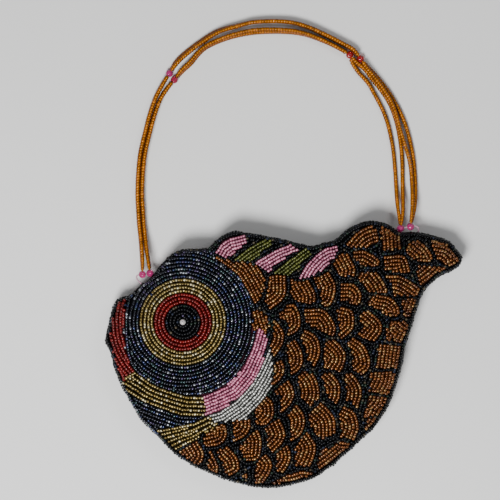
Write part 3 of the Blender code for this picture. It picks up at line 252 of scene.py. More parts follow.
# Folds beside the seam: height, reach, centre, and waves as number round the bag, turn and share
PUCKER = 0.00025
PUCKER_DEPTH = 0.006
PUCKER_IN = 0.0012
PUCKER_CENTRE = 0.01
PUCKER_WAVES = ((61, 0, 0.6), (97, 1.3, 0.4))

# Pearl, thread and the worn edges of the zip's parts
PEARL_HOLE = 0.00028
PEARL_WAY = (0, 0.2, 1)
PEARL_SIDES = 36
ROPE_STEP_SHARE = 0.6
WORN_EDGE = 0.00012
WORN_ANGLE = 40

# Step for reading slopes, and the least values that slopes are divided by
SLOPE_STEP = 0.0001
LEAST_UP = 0.6
LEAST_RISE_SQUARE = 0.25

# Points of the panels' cloth: step along the edge, depths of the rings inside it, and the grid
FINE_STEP = 0.0016
RING_DEPTHS = (0.0005, 0.00095, 0.0015, 0.0025, 0.0038, 0.0055, 0.0075, 0.010, 0.013)
RING_STRIDE_SHARE = 1.5
RING_GIVE_SHARE = 0.08
GRID_IN = 0.0145
GRID_SHARE = 2.5
LEAST_EDGE = 0.0002
LINING_IN_SHARE = 1.02

# Strand beads, their taper towards the bag, the bead at each end of a strand, and round beads
ROUTE_STEP = 0.001
STRAND_BEAD_LENGTH = 0.00152
STRAND_FULL = 1.15
STRAND_TAPER = 0.012
STRAND_SLIM = 0.26
HIGH_LIFT = 2.2
HIGH_SINK = 1.2
TIP_RADIUS = 0.00055
TIP_OUT_SHARE = 0.6
TIP_LENGTH_SHARE = 2.4
BALL_FULL = 1.06
REST_HOLE = 0.0004
# Painted highlight along the strand beads' core and painted shade on their sides
STRAND_HIGHLIGHT = (182, 112, 20)
STRAND_SHADE = (116, 58, 2)

# Beads' sections as shares of length and radius, their sides, and their places in the UV map
PROFILE = ((-0.5, 0.82), (-0.42, 0.96), (0, 1), (0.42, 0.96), (0.5, 0.82))
STRAND_PROFILE = ((-0.5, 0.7), (-0.44, 0.9), (-0.25, 0.985), (0, 1), (0.25, 0.985),
                  (0.44, 0.9), (0.5, 0.7))
SIDES = 8
STRAND_SIDES = 12
UV_MARGIN = 0.04
CAP_PLACES = (0.25, 0.75)
CAP_ROW = 0.9
CAP_WIDE = 0.1
CAP_HIGH = 0.08

# How fast the painted highlight on a bead's middle fades into painted shade towards its sides and
# its ends
HIGHLIGHT_FADE_SIDE = 0.5
HIGHLIGHT_FADE_END = 9.0

# Spread of the sewn beads' places, in picture points, and of all beads' lightness
SPOT_SPREAD = 0.16
LIFT_SPREAD = 0.16

# Spread of ways and of uprightness, then ranges of lengths and widths; strand beads stay upright
SEWN_UNEVEN = (0.05, 0.03, (0.9, 1.06), (0.94, 1.04))
RIM_UNEVEN = (0.04, 0.05, (0.92, 1.04), (0.94, 1.03))
STRAND_UNEVEN = (0.035, (0.94, 0.985), (0.97, 1.02))
RIM_ASTRAY = (-0.0002, 0.0003)
RIM_PITCH_SHARE = 1.12

# Spacing of the sewn beads, in picture points
ALONG_STEP = 2.45
ACROSS_STEP = 3.5
CLOSE_STEP = 3.05
CLOSE_SPREAD = 1.03
ROW_PITCH = 3.7
ROW_POINTS = 60
LAY_STEP = 0.3

# Margins of the rows, in picture points
EDGE_IN = 1.9
OFF_RIM = 3.0
RIM_GIVE = 0.4
STRIPE_OUT = 0.9
FIELD_IN = 0.2
LIP_OFF_OVAL = 2
SCALE_OUT = 0.5
ROUND_SCALE = 2.3
OFF_SCALE = 1.6
NEAR_SCALE = 5
NAMED_OFF_SCALE = 0.1

# Filling: share of a bead's room that it needs, grid of the search, and square of the least hole
GROW_SHARE = 0.97
HOLE_SHARE = 0.62
HOLE_GRID = 0.9
HOLE_SQUARE = 3.4

# Radii of the rows of the eye and lips, and how far round the lips' circles start, in radians
PUPIL_ROWS = (5, 8.7, 12.4, 16)
RED_ROWS = (19.7, 23.4, 27.1)
GOLD_ROWS = (30.8, 34.4, 38, 41.6)
NAVY_ROWS = np.arange(45.2, 76, 3.65)
LIP_ROWS = (58.6, 62.2, 65.8, 69.4, 73, 76.6)
LIP_TURN = 3

# Dark blue surround of the eye
OVAL = (
    (138, 370), (131, 358), (128, 340), (127.4, 321), (129.4, 302), (136, 286), (147, 268),
    (160, 254), (166, 244), (206, 240), *EYE_EDGE,
)

# Gill bands: number of rows, the first row and the last one
GILL_ROWS = {
    "gill_band_upper": (
        5,
        ((128.6, 376.6), (135.6, 372), (152.2, 384.5), (162.4, 389), (175.2, 393.4),
         (188, 396.8), (205, 397)),
        ((121, 383.5), (130.5, 391), (146.5, 400), (162.4, 406), (181.5, 412.6), (205, 413.6))),
    "gill_band_lower": (
        6,
        ((159, 430), (170, 428), (182.8, 425.5), (195.5, 423), (206, 417.6), (210, 416)),
        ((176.5, 447.5), (184, 443), (197.4, 436.8), (206, 430.2), (217, 424.4))),
}
CHEEK_ROWS = 11
CHEEK_POINTS = 50

# Bands of rows side by side: number of rows, their spacing, and the line that they start from
SIDE_ROWS = {
    "pink_band": (8, CLOSE_STEP, (
        (204.6, 396.5), (218, 391), (230.8, 385.2), (239.7, 375), (244, 370), (247.6, 362),
        (254.4, 347.4), (258.8, 331.4))),
    "silver_band": (8, CLOSE_STEP, (
        (207, 416), (220, 412.4), (237, 401), (250.4, 387.4), (260.2, 371.6), (267.3, 355.8),
        (269.4, 351))),
    "stripe_pink_front": (7, CLOSE_STEP, (
        (218, 251.8), (221.6, 245.6), (229.2, 240.2), (239, 237.6))),
    "stripe_green_front": (7, CLOSE_STEP, (
        (237.8, 258), (247.4, 250.6), (257, 244.8), (263, 241.6))),
    "stripe_pink_middle": (7, CLOSE_STEP, (
        (258.2, 262), (267, 256.4), (277.8, 250.4), (287.4, 246.6))),
    "stripe_green_back": (7, CLOSE_STEP, ((277.2, 270.8), (291, 260), (303, 251.4))),
    "stripe_pink_back": (7, CLOSE_STEP, (
        (301.4, 275.8), (307.4, 265.6), (315.4, 256.6), (325.4, 249.6), (336, 246.8))),
    "crescent_upper": (8, ACROSS_STEP, (
        (218.6, 258.4), (226, 263.4), (240, 274.4), (247.8, 287), (255, 301))),
    "crescent_lower": (6, ACROSS_STEP, ((257.4, 311.8), (259.6, 320), (262.4, 327.6), (266, 333))),
}
CLOSE_FIELDS = [name for name, (_, step, _) in SIDE_ROWS.items() if step == CLOSE_STEP]

# How far beside a row the inside of its band or scale is looked for
BAND_PROBE = 4
SCALE_PROBE = 3

# Amber scales, each a closed outline
SCALES = (
    ((271, 276), (285, 276), (285, 293), (280, 301), (270, 308), (265, 299), (268, 292)),
    ((291.5, 279.5), (307.4, 280.2), (314.4, 293), (314.4, 302.5), (299, 302), (291.5, 292)),
    ((315, 278), (328.5, 272.5), (334.8, 286.5), (331, 302.5), (326, 306), (320.8, 302.5),
     (320.8, 291)),
    ((340, 254), (347, 254), (354, 267.4), (353.3, 275), (341.2, 275.7), (333.6, 266)),
    ((347.6, 242), (364.2, 228), (375.7, 226.6), (376.3, 240.6), (367.4, 246.4), (347.6, 245.7)),
    ((353.3, 251.5), (364.8, 251.5), (377.6, 259.7), (377, 265), (362.9, 264.8), (355, 258)),
    ((341.2, 283.3), (352, 284), (359.7, 292.3), (359, 301.8), (355.3, 304.4), (341.2, 299.3)),
    ((359.7, 272.5), (375.4, 272.3), (382, 281.5), (386, 291), (378.5, 292.5), (366, 289.6),
     (359.5, 280.2)),
    ((378.5, 225.3), (385.5, 225.3), (393, 231), (399.5, 240.6), (399.5, 248.3), (381, 250.8),
     (379.8, 235.5)),
    ((408.5, 244.4), (417.4, 240.6), (427, 249.5), (430.8, 260.4), (417.4, 261), (404, 249.5)),
    ((431.4, 240.6), (448, 244.4), (458, 254.6), (458, 261), (450, 265), (438, 260.4),
     (434.6, 250.8)),
    ((416.4, 266.4), (443.6, 268.2), (435.3, 277), (421.2, 287.2), (417, 274.6)),
    ((384.2, 256.6), (402.7, 256.6), (409.2, 272), (385.5, 270.2)),
    ((385.5, 275.4), (400.8, 276.6), (419.3, 289), (417.4, 294.8), (394.4, 294.8), (392, 282)),
    ((366.3, 302.8), (376.5, 294.5), (389.3, 297.7), (397, 306), (397.6, 314.2), (389.3, 315.5),
     (372, 305.3)),
    ((401.2, 301.5), (410.2, 298.3), (419, 301.5), (413.3, 316.8), (403.8, 315.5)),
    ((274.4, 320), (279.5, 325.7), (283.4, 333.4), (281.5, 344.2), (273.8, 355.7), (272, 353.8),
     (270, 344.2), (275, 331.5)),
    ((277.6, 313.6), (287.2, 304.7), (294.2, 304.7), (299.3, 315.5), (299.3, 325.7),
     (294.8, 331.5), (288.5, 334.6), (287.8, 328.3), (287.2, 318.7), (281.5, 317.4)),
    ((305, 309), (321, 309), (329, 315.5), (334.4, 325.7), (333.5, 334.6), (324.8, 332.7),
     (315.3, 326.4), (307, 321.3)),
    ((333.2, 310.4), (340.8, 306.6), (351, 310.4), (353, 319.3), (351.7, 328.3), (341.5, 337.8),
     (338.3, 336), (340.8, 329.5), (338.3, 315.5)),
    ((360.6, 311.7), (367.6, 310.4), (379, 320.6), (380.4, 330.8), (373.3, 340.4),
     (363.8, 337.2), (358.7, 333.4), (365, 327), (360, 318.7)),
    ((388.5, 320.6), (402.5, 320.6), (409.5, 328.3), (403.8, 342.3), (384.6, 337.8)),
    ((288.5, 343), (294.8, 339.7), (301.2, 351.2), (302, 362), (297.4, 369.7), (291, 373.5),
     (291, 363.3), (288.5, 360.2)),
    ((300.6, 336), (305, 329.5), (314, 334.6), (319, 344.2), (318.4, 355.7), (313.3, 366),
     (308.2, 359), (307, 347.4)),
    ((325, 340.4), (333.2, 339), (341.5, 347.4), (344.6, 355), (343.4, 363.3), (339.5, 370.4),
     (323.6, 366), (325.5, 350.6)),
    ((347.8, 342.3), (353, 337.2), (363.8, 346), (368.2, 357), (368.2, 366.5), (360.6, 374.2),
     (351, 366.5), (354.2, 357), (351, 347.4)),
    ((376.4, 347.4), (384.6, 343), (403, 347.4), (400, 368.4), (375.7, 366)),
    ((276.4, 361.4), (282, 360.2), (284, 366.5), (281.5, 376), (271.2, 385), (274, 370)),
    ((276, 391), (288.3, 380.2), (292, 386), (293.4, 395.5), (288.3, 404.4), (280.6, 410.8),
     (281.9, 395.5)),
    ((298.5, 377.7), (305.5, 371.3), (313.8, 375), (317.6, 386), (317.6, 395.5), (311.2, 404.4),
     (301, 395.5)),
    ((319.5, 372.6), (329.7, 372), (338.6, 382.8), (338.6, 395.5), (335.5, 403.2), (329, 398.7),
     (326.5, 387.2)),
    ((344.4, 373.8), (350.8, 372.6), (358.5, 382.8), (360.4, 392.3), (357.2, 405.7),
     (352, 400.6), (345.7, 397.4), (346.4, 386)),
    ((370.6, 373.2), (398.5, 371.5), (396, 384.7), (391.6, 393.6), (368.7, 391)),
    ((368.7, 396), (389.7, 398), (386, 408.3), (382, 412.7), (363, 416), (366, 405.7)),
    ((260.2, 401.3), (266.5, 395.5), (272.3, 402), (273, 414.6), (266.5, 423), (257, 422.3),
     (255, 413.4)),
    ((232, 419), (249.3, 416.6), (250, 425.5), (244.8, 434.4), (234.6, 439.5), (233.4, 427.4)),
    ((209, 427.4), (221.9, 423), (225.7, 424.8), (226.4, 433.8), (221.9, 441.4), (209, 445.3),
     (204, 440.2)),
    ((240.4, 446), (257.6, 429.3), (260.8, 437), (260.8, 446.5), (257.6, 457.4), (245.5, 459.3)),
    ((266.5, 427.4), (279.3, 418.5), (284.4, 430.6), (282.5, 440.2), (273, 450.4), (267.8, 442)),
    ((289, 414.6), (296.6, 404.4), (303.6, 414.6), (303.6, 426), (298.5, 435), (291.5, 439),
     (290.8, 421)),
    ((309.3, 414), (320.8, 403.2), (329.7, 410.8), (334.2, 421), (333.5, 431.2), (321.4, 437),
     (316.3, 432.5), (311.2, 424.2)),
    ((339.3, 413.4), (343.8, 405.7), (353.4, 411.5), (357.2, 423), (356.6, 431.2), (353.4, 439),
     (340, 435.7), (341.9, 424.2)),
    ((366, 419.7), (379, 417.2), (373.8, 426), (364.2, 433)),
    ((180.8, 449.7), (189, 443.4), (197.4, 440.2), (203.2, 449.7), (203.2, 457.4), (198, 465),
     (182.8, 457.4)),
    ((210.8, 449.7), (217.8, 463.8), (217.2, 471.4), (208.3, 467), (210.8, 457.4)),
    ((218.5, 450.4), (227.4, 445.3), (235.7, 454.2), (239, 463.8), (237, 470), (227.4, 475.3),
     (222.9, 460.6)),
    ((242, 473.3), (246.5, 470), (248, 479)),
    ((256.4, 463.8), (266, 453.6), (271, 460.6), (270.4, 469), (262.8, 481), (255.7, 483)),
    ((276, 454.2), (287.6, 444.6), (290.2, 454.2), (288.3, 462.5), (282, 471.4), (276.8, 469)),
    ((295.3, 448.5), (307.4, 431.3), (315, 444.6), (312.5, 457.4), (309.3, 464.4),
     (295.3, 463.8)),
    ((272.3, 481.6), (288.3, 474.6), (302.3, 470.2), (313.8, 473.3), (294.6, 482.3), (273, 484.2)),
    ((320.2, 451), (339.5, 440.8), (351.5, 443.3), (349, 449), (320, 472), (317, 464.4)),
)

# Scales whose rows run upright, and how far that leans the choice of their corners
UPRIGHT_SCALES = (0, 1, 3, 15, 21, 26, 32, 33, 42)
UPRIGHT_LEAN = 0.6

# Scales whose rows follow another line than their side facing the tail
ROW_LINES = {
    4: ((342, 249.6), (347, 243.4), (356, 233.4), (366, 227.4), (376, 225.2), (386, 224)),
    8: ((377.6, 216), (379.6, 224.6), (381.4, 234), (382.4, 243), (382.8, 254)),
    11: ((444.8, 267.4), (435.3, 277), (421, 288.4)),
    29: ((304, 364), (313.8, 375), (317.8, 386), (318.2, 396), (313, 409)),
    40: ((316, 398), (329.7, 410.8), (334.2, 421), (334.6, 439)),
}
SCALE_ROWS = 12
SCALE_FIRST_ROW = 1.0

# Red beads of the lips, inside the black edge
LIP_SHAPE = (
    (115.6, 302), (119, 298.4), (124, 295.6), (133, 290), (150, 296), (150, 366), (137, 370.5),
    (117, 387), (113.4, 372), (111, 358), (109.2, 344), (109.6, 338), (110.8, 331),
    (112, 322), (113.2, 312), (113.8, 306),
)

# Colours of the beads as seen in the picture: share, the painted highlight on the top of the bead,
# and the painted shade on its sides
AMBER = ((0.60, (120, 74, 31), (74, 33, 4)), (0.24, (96, 53, 16), (60, 26, 2)),
         (0.16, (154, 119, 72), (78, 40, 8)))
BLACK = ((0.80, (18, 19, 22), (2, 2, 3)), (0.09, (36, 42, 58), (3, 5, 9)),
         (0.06, (34, 48, 40), (3, 6, 4)), (0.05, (80, 72, 58), (8, 7, 5)))
NAVY = ((0.52, (38, 40, 50), (4, 5, 10)), (0.16, (46, 56, 92), (5, 7, 18)),
        (0.11, (50, 70, 72), (6, 11, 13)), (0.10, (70, 60, 92), (9, 7, 18)),
        (0.11, (150, 154, 162), (14, 15, 21)))
RED = ((0.74, (116, 22, 18), (76, 4, 3)), (0.26, (94, 14, 12), (64, 2, 2)))
OLIVE = ((0.60, (146, 127, 73), (43, 32, 3)), (0.24, (114, 94, 41), (36, 27, 2)),
         (0.16, (202, 190, 150), (53, 43, 11)))
PINK = ((0.70, (212, 142, 166), (134, 58, 84)), (0.30, (194, 114, 142), (112, 44, 66)))
SILVER = ((0.66, (206, 205, 200), (98, 98, 95)), (0.34, (176, 176, 171), (80, 80, 77)))
ROSE = ((0.72, (212, 146, 168), (124, 54, 76)), (0.28, (188, 114, 140), (94, 36, 54)))
GREEN = ((0.75, (98, 102, 46), (34, 36, 4)), (0.25, (72, 76, 26), (25, 27, 2)))

# Metallic share, roughness, coat and specular level of the beads
DARK_FINISH = (0.0, 0.18, 0.0, 0.12)
LINED = (0.45, 0.22, 0.25, 0.3)
SHINY = (0.6, 0.18, 0.2, 0.3)
OPAQUE = (0.1, 0.24, 0.18, 0.25)
STRAND_FINISH = (0.2, 0.24, 0.04, 0.15)

# Each group of beads: its colours, the tinted shade painted on the cloth under it, and its finish
GROUPS = {
    **dict.fromkeys(("scale_field", "fin_ground", "rim_front", "rim_back", "pupil"),
                    (BLACK, (5, 5, 6), DARK_FINISH)),
    **dict.fromkeys(("scales", "crescent_upper", "crescent_lower"), (AMBER, (54, 22, 4), LINED)),
    **dict.fromkeys(("cheek", "navy"), (NAVY, (6, 7, 14), SHINY)),
    **dict.fromkeys(("stripe_pink_front", "stripe_pink_middle", "stripe_pink_back"),
                    (ROSE, (70, 26, 40), OPAQUE)),
    **dict.fromkeys(("stripe_green_front", "stripe_green_back"), (GREEN, (22, 22, 4), OPAQUE)),
    "lips": (RED, (60, 4, 2), OPAQUE),
    "red_ring": (RED, (56, 3, 2), OPAQUE),
    "gold_ring": (OLIVE, (38, 29, 4), LINED),
    "gill_band_upper": (OLIVE, (32, 24, 4), LINED),
    "gill_band_lower": (OLIVE, (34, 26, 6), LINED),
    "pink_band": (PINK, (104, 44, 64), OPAQUE),
    "silver_band": (SILVER, (78, 76, 74), LINED),
}

# Fields that name every filled bead inside them, and how far inside the others name theirs
WHOLE_FIELDS = ("fin_ground", "cheek", "navy")
FIELD_MARGIN = 1

# Lamps over the table, each with its place, power and size; then sky, floor and camera
LAMPS = (("key", (-0.26, -0.42, 0.88), 15.4, 0.42), ("fill", (0.6, 0.5, 1.0), 2.2, 0.5))
SKY = (0.97, 0.98, 1, 1)
SKY_STRENGTH = 0.26
FLOOR_REACH = 4
SIGHT_HEIGHT = 1.4
PHOTO_SIDE = 500
SENSOR = 36
UP = (0.0, 0.0, 1.0)


# Plan of the bag
def at(points):
    """Places in metres of picture points."""
    points = np.asarray(points, float)
    plan = np.stack((points[..., 0] - MIDDLE[0], MIDDLE[1] - points[..., 1]), -1)
    return plan * PIXEL


def back_to_picture(plan):
    """Picture points of places in metres."""
    return np.stack((plan[..., 0] / PIXEL + MIDDLE[0], MIDDLE[1] - plan[..., 1] / PIXEL), -1)


def unit(way):
    """A direction at length one."""
    return way / np.linalg.norm(way)


def depth_in(points, loop):
    """Distance of each point inside the loop, negative outside it."""
    points = np.asarray(points, float).reshape(-1, 2)
    start = np.asarray(loop, float)
    run = np.roll(start, -1, 0) - start
    reach = points[:, None] - start
    share = np.clip((reach * run).sum(-1) / (run ** 2).sum(-1), 0, 1)
    nearest = np.linalg.norm(reach - run * share[..., None], axis=-1).min(1)
    end = start + run
    crosses = (start[:, 1] > points[:, None, 1]) != (end[:, 1] > points[:, None, 1])
    rise = np.where(run[:, 1] == 0, 1, run[:, 1])
    where = start[:, 0] + run[:, 0] * (points[:, None, 1] - start[:, 1]) / rise
    inside = (crosses & (points[:, None, 0] < where)).sum(1) % 2 == 1
    return np.where(inside, nearest, -nearest)


def grid_over(low, high, step):
    """Points of a square grid between two corners."""
    rows = [np.arange(low[k], high[k], step) for k in (0, 1)]
    return np.stack(np.meshgrid(*rows), -1).reshape(-1, 2)


BORDER = at(OUTLINE)
CHORD_START = at(MOUTH_LEFT)
CHORD = at(MOUTH_RIGHT) - CHORD_START
CHORD_LENGTH = float(np.linalg.norm(CHORD))
ALONG = CHORD / CHORD_LENGTH
ACROSS = np.array((-ALONG[1], ALONG[0]))
ZIP_END = CHORD_LENGTH - ZIP_END_CLEAR
TAPE_END = CHORD_LENGTH - TAPE_END_CLEAR
STRAP_AXIS = at(AXIS_BEADS["right_inner"]) - at(AXIS_BEADS["left_inner"])


def eased(share):
    """A share from 0 to 1 with a soft start and a soft end."""
    share = np.clip(share, 0, 1)
    return share * share * (3 - 2 * share)


def domed(depth, reach):
    """Height, 0 to 1, of a rounded edge this deep inside it."""
    share = np.clip(depth / reach, 0, 1)
    return (np.sin(math.pi / 2 * share) + np.sqrt(1 - (1 - share) ** 2)) / 2


def gape(plan):
    """How far the mouth is open here, 0 to 1."""
    along = (plan - CHORD_START) @ ALONG
    across = (plan - CHORD_START) @ ACROSS
    window = eased(along / MOUTH_END) * eased((CHORD_LENGTH - along) / MOUTH_END)
    return window * eased((across + MOUTH_DEPTH) / (MOUTH_DEPTH - MOUTH_FULL))


def front_under(plan):
    """Height of the front panel's inner face."""
    dome = domed(depth_in(plan, BORDER), FRONT_REACH)
    return SEAM_Z + GAP / 2 + FRONT_RISE * (dome + (1 - dome) * FRONT_GAPE_SHARE * gape(plan))


def back_over(plan):
    """Height of the back panel's inner face."""
    dome = domed(depth_in(plan, BORDER), BACK_REACH)
    return SEAM_Z - GAP / 2 - BACK_DROP * (dome + (1 - dome) * BACK_GAPE_SHARE * gape(plan))


def slope_of(height, plan):
    """Rise of a height function along x and y at each place."""
    found = []
    for way in ((SLOPE_STEP, 0), (0, SLOPE_STEP)):
        found.append((height(plan + way) - height(plan - np.array(way))) / (2 * SLOPE_STEP))
    return np.stack(found, -1)


# Curves
def curve_through(points, step):
    """Points about one step apart on a smooth curve through the given ones."""
    points = [np.asarray(p, float) for p in points]
    runs = [2 * points[0] - points[1], *points, 2 * points[-1] - points[-2]]
    found = []
    for a, b, c, d in zip(runs, runs[1:], runs[2:], runs[3:]):
        count = max(1, round(float(np.linalg.norm(c - b)) / step))
        for number in range(count):
            t = number / count
            found.append((2 * b + (c - a) * t + (2 * a - 5 * b + 4 * c - d) * t ** 2
                          + (3 * b - a - 3 * c + d) * t ** 3) / 2)
    return np.array([*found, points[-1]])


def length_of(line):
    return float(np.linalg.norm(np.diff(line, axis=0), axis=1).sum())


def spaced(line, places):
    """Points at these distances along a line, and the line's direction at each."""
    line = np.asarray(line, float)
    runs = np.linalg.norm(np.diff(line, axis=0), axis=1)
    so_far = np.concatenate(([0], np.cumsum(runs)))
    where = np.stack([np.interp(places, so_far, line[:, k]) for k in range(line.shape[1])], -1)
    number = np.clip(np.searchsorted(so_far, places, "right") - 1, 0, len(runs) - 1)
    way = (line[1:] - line[:-1])[number] / runs[number][:, None]
    return where, way


def evenly(line, count):
    return spaced(line, np.linspace(0, length_of(line), count))[0]


def between(first, last, share):
    """The line this share of the way from one line to another."""
    return evenly(first, ROW_POINTS) * (1 - share) + evenly(last, ROW_POINTS) * share


def smooth_loop(points, step):
    """A closed smooth curve through the points."""
    return curve_through([*points[-2:], *points, *points[:2]], step)


def circle(centre, radius, start=0.0, sides=96):
    turn = np.linspace(0, math.tau, sides + 1) + start
    return np.stack((centre[0] + radius * np.cos(turn), centre[1] + radius * np.sin(turn)), -1)


def lengthened(line, reach):
    """The line run on straight past both its ends."""
    ends = [spot + unit(spot - after) * reach
            for spot, after in ((line[0], line[1]), (line[-1], line[-2]))]
    return np.array([ends[0], *line, ends[1]])


def left_of(way):
    return np.stack((-way[:, 1], way[:, 0]), -1)


def offset_line(line, distance):
    """The line moved sideways, to the left of its direction for a positive distance."""
    way = np.gradient(line, axis=0)
    way /= np.linalg.norm(way, axis=1)[:, None] + 1e-9
    return line + left_of(way) * distance


def inner_side(line, shape, reach):
    """1 where the inside of the shape is to the left of the line, -1 where it is to the right."""
    return 1 if np.median(depth_in(offset_line(line, reach), shape)) > 0 else -1


def edge_line(margin):
    """The outline moved inside by this many picture points."""
    line = smooth_loop(OUTLINE, 2)
    moved = offset_line(line, margin * inner_side(line, OUTLINE, margin))
    return moved[np.abs(depth_in(moved, OUTLINE) - margin) < margin / 2]


def offset_loop(shape, distance):
    """A closed outline moved outwards."""
    line = smooth_loop(shape, 1)
    return offset_line(line, -distance * inner_side(line, shape, distance))


def chain_right(shape, lean):
    """The side of a closed outline that faces the tail, from its top point to its bottom one."""
    count = len(shape)
    top = min(range(count), key=lambda i: shape[i][1] - lean * shape[i][0])
    low = max(range(count), key=lambda i: shape[i][1] + lean * shape[i][0])
    first = [shape[(top + k) % count] for k in range((low - top) % count + 1)]
    second = [shape[(top - k) % count] for k in range((top - low) % count + 1)]
    return max((first, second), key=lambda side: np.mean([p[0] for p in side]))


# Sewing the beads, in picture points
class Bed:
    """Places of the sewn beads, each with its row's direction and its colour group."""

    CELL = 4.0

    def __init__(self):
        self.cells = {}
        self.spots = []
        self.groups = []

    def near(self, x, y):
        column, row = int(x // self.CELL), int(y // self.CELL)
        for i in (column - 1, column, column + 1):
            for j in (row - 1, row, row + 1):
                yield from self.cells.get((i, j), ())

    def is_free(self, x, y, tx, ty, share=1.0, wide=ACROSS_STEP):
        """Whether a bead finds this share of its room here."""
        for ox, oy, ux, uy in self.near(x, y):
            dx, dy = x - ox, y - oy
            mine = ((dx * tx + dy * ty) / ALONG_STEP) ** 2 + ((dx * ty - dy * tx) / wide) ** 2
            other = ((dx * ux + dy * uy) / ALONG_STEP) ** 2 + ((dx * uy - dy * ux) / wide) ** 2
            if mine + other < 2 * share:
                return False
        return True

    def add(self, x, y, tx, ty, group):
        self.spots.append((x, y, tx, ty))
        self.groups.append(group)
        cell = (int(x // self.CELL), int(y // self.CELL))
        self.cells.setdefault(cell, []).append((x, y, tx, ty))

    def lay(self, line, group, keep=None, wide=ACROSS_STEP):
        """Beads side by side along a line, wherever there is room."""
        places = np.arange(LAY_STEP, length_of(line) + LAY_STEP / 2, LAY_STEP)
        where, way = spaced(line, places)
        allowed = keep(where) if keep else np.ones(len(where), bool)
        for spot, turned, good in zip(where.tolist(), way.tolist(), allowed.tolist()):
            if good and self.is_free(*spot, *turned, wide=wide):
                self.add(*spot, *turned, group)

    def grow(self, keep):
        """Rows beside the rows already laid, until nothing more fits."""
        steps = ((ALONG_STEP, 0), (-ALONG_STEP, 0), (0, ACROSS_STEP), (0, -ACROSS_STEP))
        fresh = list(self.spots)
        while fresh:
            tries = [(x + tx * a - ty * b, y + ty * a + tx * b, tx, ty)
                     for x, y, tx, ty in fresh for a, b in steps]
            good = keep(np.array(tries)[:, :2])
            fresh = []
            for bead, allowed in zip(tries, good.tolist()):
                if allowed and self.is_free(*bead, GROW_SHARE):
                    self.add(*bead, None)
                    fresh.append(bead)

    def fill_gaps(self, keep):
        """One more bead wherever a hole is left between the rows."""
        grid = grid_over(LEFT_TOP, RIGHT_LOW, HOLE_GRID)
        for x, y in grid[keep(grid)].tolist():
            best, way = math.inf, (1.0, 0.0)
            for ox, oy, ux, uy in self.near(x, y):
                far = (x - ox) ** 2 + (y - oy) ** 2
                if far < best:
                    best, way = far, (ux, uy)
            if best > HOLE_SQUARE and self.is_free(x, y, *way, HOLE_SHARE):
                self.add(x, y, *way, None)


def inside_outline(points):
    return depth_in(points, OUTLINE) > EDGE_IN


def off_rim(points):
    return depth_in(points, OUTLINE) > OFF_RIM


def within(shape, least, clear=inside_outline):
    """Tells which points lie more than this far inside a shape, clear of the edge."""
    return lambda points: (depth_in(points, shape) > least) & clear(points)


def outside_scales(points, margin):
    """Whether each point lies outside every scale by this much."""
    found = np.ones(len(points), bool)
    for shape in SCALES:
        shape = np.array(shape)
        low, high = shape.min(0) - NEAR_SCALE, shape.max(0) + NEAR_SCALE
        close = ((points > low) & (points < high)).all(1) & found
        if close.any():
            found[close] = depth_in(points[close], shape) < -margin
    return found


def sew_circles(bed, rows, group, keep=None, turn=0):
    for radius in rows:
        bed.lay(circle(EYE_CENTRE, radius, radius + turn), group, keep)


def sew_bands(bed):
    """Gill rows that fan out between two lines, and the rows of the other bands side by side."""
    for name, (count, first, last) in GILL_ROWS.items():
        for row in range(count):
            bed.lay(between(first, last, row / (count - 1)), name, off_rim)
    for name, (count, step, first) in SIDE_ROWS.items():
        keep = within(FIELDS[name], -STRIPE_OUT if name.startswith("stripe") else FIELD_IN)
        line = lengthened(evenly(first, ROW_POINTS), 2 * ACROSS_STEP)
        side = inner_side(line, FIELDS[name], BAND_PROBE)
        for row in range(count):
            bed.lay(offset_line(line, side * row * step * CLOSE_SPREAD), name, keep, step)


def sew_head(bed):
    """Dark blue rows round the eye, and the rows of the lips."""
    bed.lay(smooth_loop(OVAL, 2), "navy", inside_outline)
    sew_circles(bed, NAVY_ROWS, "navy", within(OVAL, EDGE_IN))
    in_lips = within(LIP_SHAPE, 0, off_rim)
    sew_circles(bed, LIP_ROWS, "lips",
                lambda points: in_lips(points) & (depth_in(points, OVAL) < -LIP_OFF_OVAL), LIP_TURN)


def sew_cheek(bed):
    """Rows under the upper gill band, each beside the one before."""
    line = evenly(GILL_ROWS["gill_band_upper"][2], CHEEK_POINTS)
    for row in range(1, CHEEK_ROWS + 1):
        bed.lay(offset_line(line, ROW_PITCH * row), None, within(FIELDS["cheek"], 0))


def sew_scale(bed, number, shape):
    """Curved rows of amber beads inside a scale, the first one along a line at its side."""
    lean = UPRIGHT_LEAN if number in UPRIGHT_SCALES else 0.0
    line = curve_through(ROW_LINES.get(number) or chain_right(shape, lean), 1)
    side = inner_side(line, shape, SCALE_PROBE)
    for row in range(SCALE_ROWS):
        bed.lay(offset_line(line, side * (SCALE_FIRST_ROW + row * ROW_PITCH)), "scales",
                within(shape, -SCALE_OUT, off_rim))


def sewn_front():
    """Every bead of the front: rings and bands first, then outlines, then what is left."""
    bed = Bed()
    for rows, group in ((PUPIL_ROWS, "pupil"), (RED_ROWS, "red_ring"), (GOLD_ROWS, "gold_ring")):
        sew_circles(bed, rows, group)
    sew_bands(bed)
    sew_head(bed)
    bed.lay(edge_line(EDGE_IN), None)
    sew_cheek(bed)
    for number, shape in enumerate(SCALES):
        sew_scale(bed, number, shape)
    for shape in SCALES:
        bed.lay(offset_loop(shape, ROUND_SCALE), None,
                lambda points: inside_outline(points) & outside_scales(points, OFF_SCALE))
    bed.grow(inside_outline)
    bed.fill_gaps(inside_outline)
    return bed


